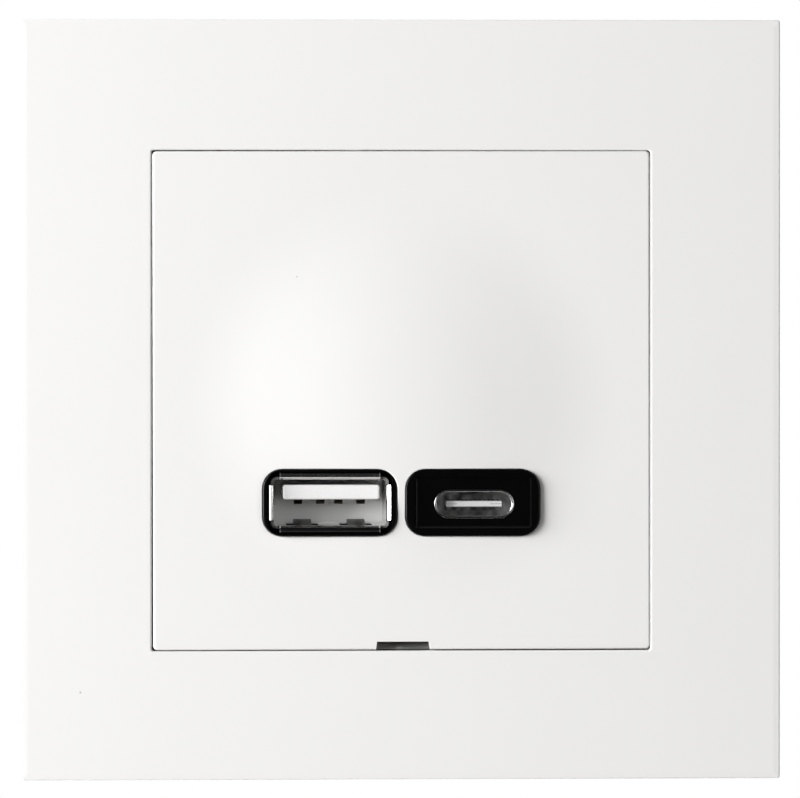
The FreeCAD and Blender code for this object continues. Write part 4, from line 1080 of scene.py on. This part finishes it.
# %% [markdown]
# ## The type C shell
#
# The type C port's shell is drawn from steel strip, so its mouth is not a cut edge but a rounded one. Seen
# from the front, the rounding sends most of its light past us. Only a hair line of it shines at the ends.
# A Solidify modifier on one tube would give the wall but leave the mouth square, so the outer and the inner
# wall are two profiles that meet at the mouth.

# %% Type C shell
C_HALF = (4.47 * MM, 1.63 * MM)
C_THICKNESS = 0.3 * MM
C_ROUND = 0.13 * MM
C_CORNER_GAP = 0.01 * MM


def usb_c_shell():
    """A tube with round ends: an outer and an inner outline, both rounded over at the mouth."""
    low, high = (np.array(corner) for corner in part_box("usb_c_shell"))
    middle = ((low + high) / 2)[[0, 2]]
    mouth, back = low[1], high[1]
    runs = []
    for inset, radii, corners in (
            (0.0, [0, C_ROUND], [(IN, back), (0, back), (0, mouth), (IN, mouth)]),
            (C_THICKNESS, [C_ROUND, 0], [(OUT, mouth), (0, mouth), (0, back), (OUT, back)])):
        half_x, half_z = (half - inset for half in C_HALF)
        shape = outline(half_x, half_z, half_z - C_CORNER_GAP, middle)
        runs.append(sweep(shape, rounded(corners, radii)))
    return [skin_of(np.concatenate(runs), closed=True)]


piece("usb_c_shell_drawn", usb_c_shell(), "usb_c_shell", "shell_metal")

# %% [markdown]
# ## The photographer's place
#
# The photograph was taken from about 0.7 m, a little to the left and a touch above. The frame's left side
# is 4 pixels taller than its right one, which gives the turn, and the top is a hair wider than the bottom.
# The lens follows from the plate's width in the picture, PLATE_PIXELS. Where the frame's four corners land
# is printed, to hold against the photograph.

# %% Camera
IMAGE_WIDTH = 800
IMAGE_HEIGHT = 798
PLATE_PIXELS = 498.5
DISTANCE = 0.7
TURN = math.radians(2.3)
RISE = math.radians(0.67)
ROLL = math.radians(-0.02)
OFFSET_RIGHT_PIXELS = 1.3
OFFSET_DOWN_PIXELS = 0.7

pixel = 2 * PLATE_HALF / PLATE_PIXELS
middle = Vector((0, front, 0))
view = Vector((-math.sin(TURN) * math.cos(RISE), -math.cos(TURN) * math.cos(RISE), math.sin(RISE)))
target = middle + Vector((-OFFSET_RIGHT_PIXELS, 0, OFFSET_DOWN_PIXELS)) * pixel
lens = bpy.data.cameras.new("camera")
lens.lens = DISTANCE / pixel / IMAGE_WIDTH * lens.sensor_width
camera = bpy.data.objects.new("camera", lens)
bpy.context.scene.collection.objects.link(camera)
camera.location = middle + view * DISTANCE
camera.rotation_euler = (target - camera.location).to_track_quat("-Z", "Y").to_euler()
camera.rotation_euler.rotate_axis("Z", ROLL)
bpy.context.scene.camera = camera
bpy.context.view_layer.update()


def pixel_of(point):
    """Where a point shows in the photograph, as (x, y) in pixels from the top left."""
    seen = camera.matrix_world.inverted() @ Vector(point)
    scale = lens.lens / lens.sensor_width * IMAGE_WIDTH / -seen.z
    return round(IMAGE_WIDTH / 2 + seen.x * scale, 1), round(IMAGE_HEIGHT / 2 - seen.y * scale, 1)


for x in (-frame_half, frame_half):
    for z in (frame_half, -frame_half):
        print("corner", pixel_of((x, front, z)))

# %% [markdown]
# ## Light and background
#
# One broad soft box stands far to the left, so its light only grazes the front: that is what draws the dome
# and the thin lines round the plate. A weak strip on the right keeps the far sides from going dark. A sun
# lamp would draw the dome too, but with hard black lines in every gap, where a broad lamp's fade.

# %% Lights
def soft_box(name, distance, turn, rise, width, tall, power):
    """An area light that faces the front's middle from a distance.

    Turn is its angle from straight ahead, to the right, and rise how far up it is turned, both in degrees.
    """
    light = bpy.data.lights.new(name, "AREA")
    light.shape = "RECTANGLE"
    light.size = width
    light.size_y = tall
    light.energy = power
    lamp = bpy.data.objects.new(name, light)
    bpy.context.scene.collection.objects.link(lamp)
    side, ahead = math.sin(math.radians(turn)), math.cos(math.radians(turn))
    height = math.radians(rise)
    toward = Vector((side * math.cos(height), -ahead, abs(side) * math.sin(height)))
    lamp.location = middle + toward * distance
    lamp.rotation_euler = toward.to_track_quat("Z", "Y").to_euler()
    print(name, "at", [round(part, 2) for part in lamp.location], "watts", power)


soft_box("key_light", distance=0.85, turn=-70, rise=8, width=0.8, tall=0.45, power=18.2)
soft_box("right_strip", distance=1.0, turn=50, rise=0, width=0.35, tall=0.4, power=0.7)

# %% [markdown]
# ## The room
#
# A world shader gives each direction its own brightness. Level and to either side is white paper, behind
# the socket is more of it, and everywhere else the room is dark. Bright metal mirrors that room, which makes
# the lips above and below the type A port black and those beside it white. What the camera sees behind the
# socket is pure white, as in a cut-out product picture.

# %% World
BESIDE = 0.56
BEHIND = 0.9
ELSEWHERE = 0.015
LEVEL_DEGREES = (18, 40)
BESIDE_DEGREES = (16, 36)
BEHIND_REACH = (-0.05, 0.15)


def sines(degrees):
    """The sines of some angles, which is how far directions at those angles reach along an axis."""
    return [math.sin(math.radians(angle)) for angle in degrees]


bpy.context.scene.world = bpy.data.worlds.new("studio")
bpy.context.scene.world.use_nodes = True
studio = Network(bpy.context.scene.world.node_tree)
across, inward, upward = studio.axes(studio.add("ShaderNodeTexCoord", output="Generated"))
level = 1.0 - studio.step(abs(upward), *sines(LEVEL_DEGREES))
beside = studio.step(abs(across), *sines(BESIDE_DEGREES))
ahead = ELSEWHERE + (BESIDE - ELSEWHERE) * level * beside
around = ahead + (BEHIND - ahead) * studio.step(inward, *BEHIND_REACH)
strength = studio.add("ShaderNodeLightPath", output="Is Camera Ray").larger(around)
studio.fill(studio.tree.nodes["Background"], {"Color": (1.0, 1.0, 1.0), "Strength": strength})
print("world nodes:", len(studio.tree.nodes))

# %% [markdown]
# ## The floor
#
# A pale sheet lies well below the socket, out of the picture, and sends a little light up to its lower edges,
# as a table would. It is part of the stage and not of the socket. The Standard view adds no curve of its
# own, so the whites stay as bright as the light and the finish make them.

# %% Floor
FLOOR_DROP = 0.3
FLOOR_FRONT = -0.1
FLOOR_BACK = 3.2
FLOOR_SIDE = 1.6

low, high = (-FLOOR_SIDE, FLOOR_FRONT), (FLOOR_SIDE, FLOOR_BACK)
corners = [(low[0], low[1]), (high[0], low[1]), (high[0], high[1]), (low[0], high[1])]
floor_mesh = bpy.data.meshes.new("floor")
floor_mesh.from_pydata([(*corner, -FLOOR_DROP) for corner in corners], [], [(0, 1, 2, 3)])
floor = bpy.data.objects.new("floor", floor_mesh)
bpy.context.scene.collection.objects.link(floor)
paper = Finish("studio_floor")
tone = paper.mix(paper.noise(0.3), (0.8, 0.8, 0.8), (0.84, 0.84, 0.84))
paper.set(base_color=tone, roughness=0.7 + 0.1 * paper.noise(0.05))
floor_mesh.materials.append(paper.material)
floor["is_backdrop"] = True

bpy.context.scene.view_settings.view_transform = "Standard"

# %% [markdown]
# ## The two boxes
#
# At the end the box round everything that shows is worked out, beside the CAD model's box. They have to
# agree: a piece drawn outside it would no longer fit the object's real size.

# %% Work out the two boxes
boxes = {"cad": cad_box, "visual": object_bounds()}
{name: [[float(x) for x in corner] for corner in box] for name, box in boxes.items()}
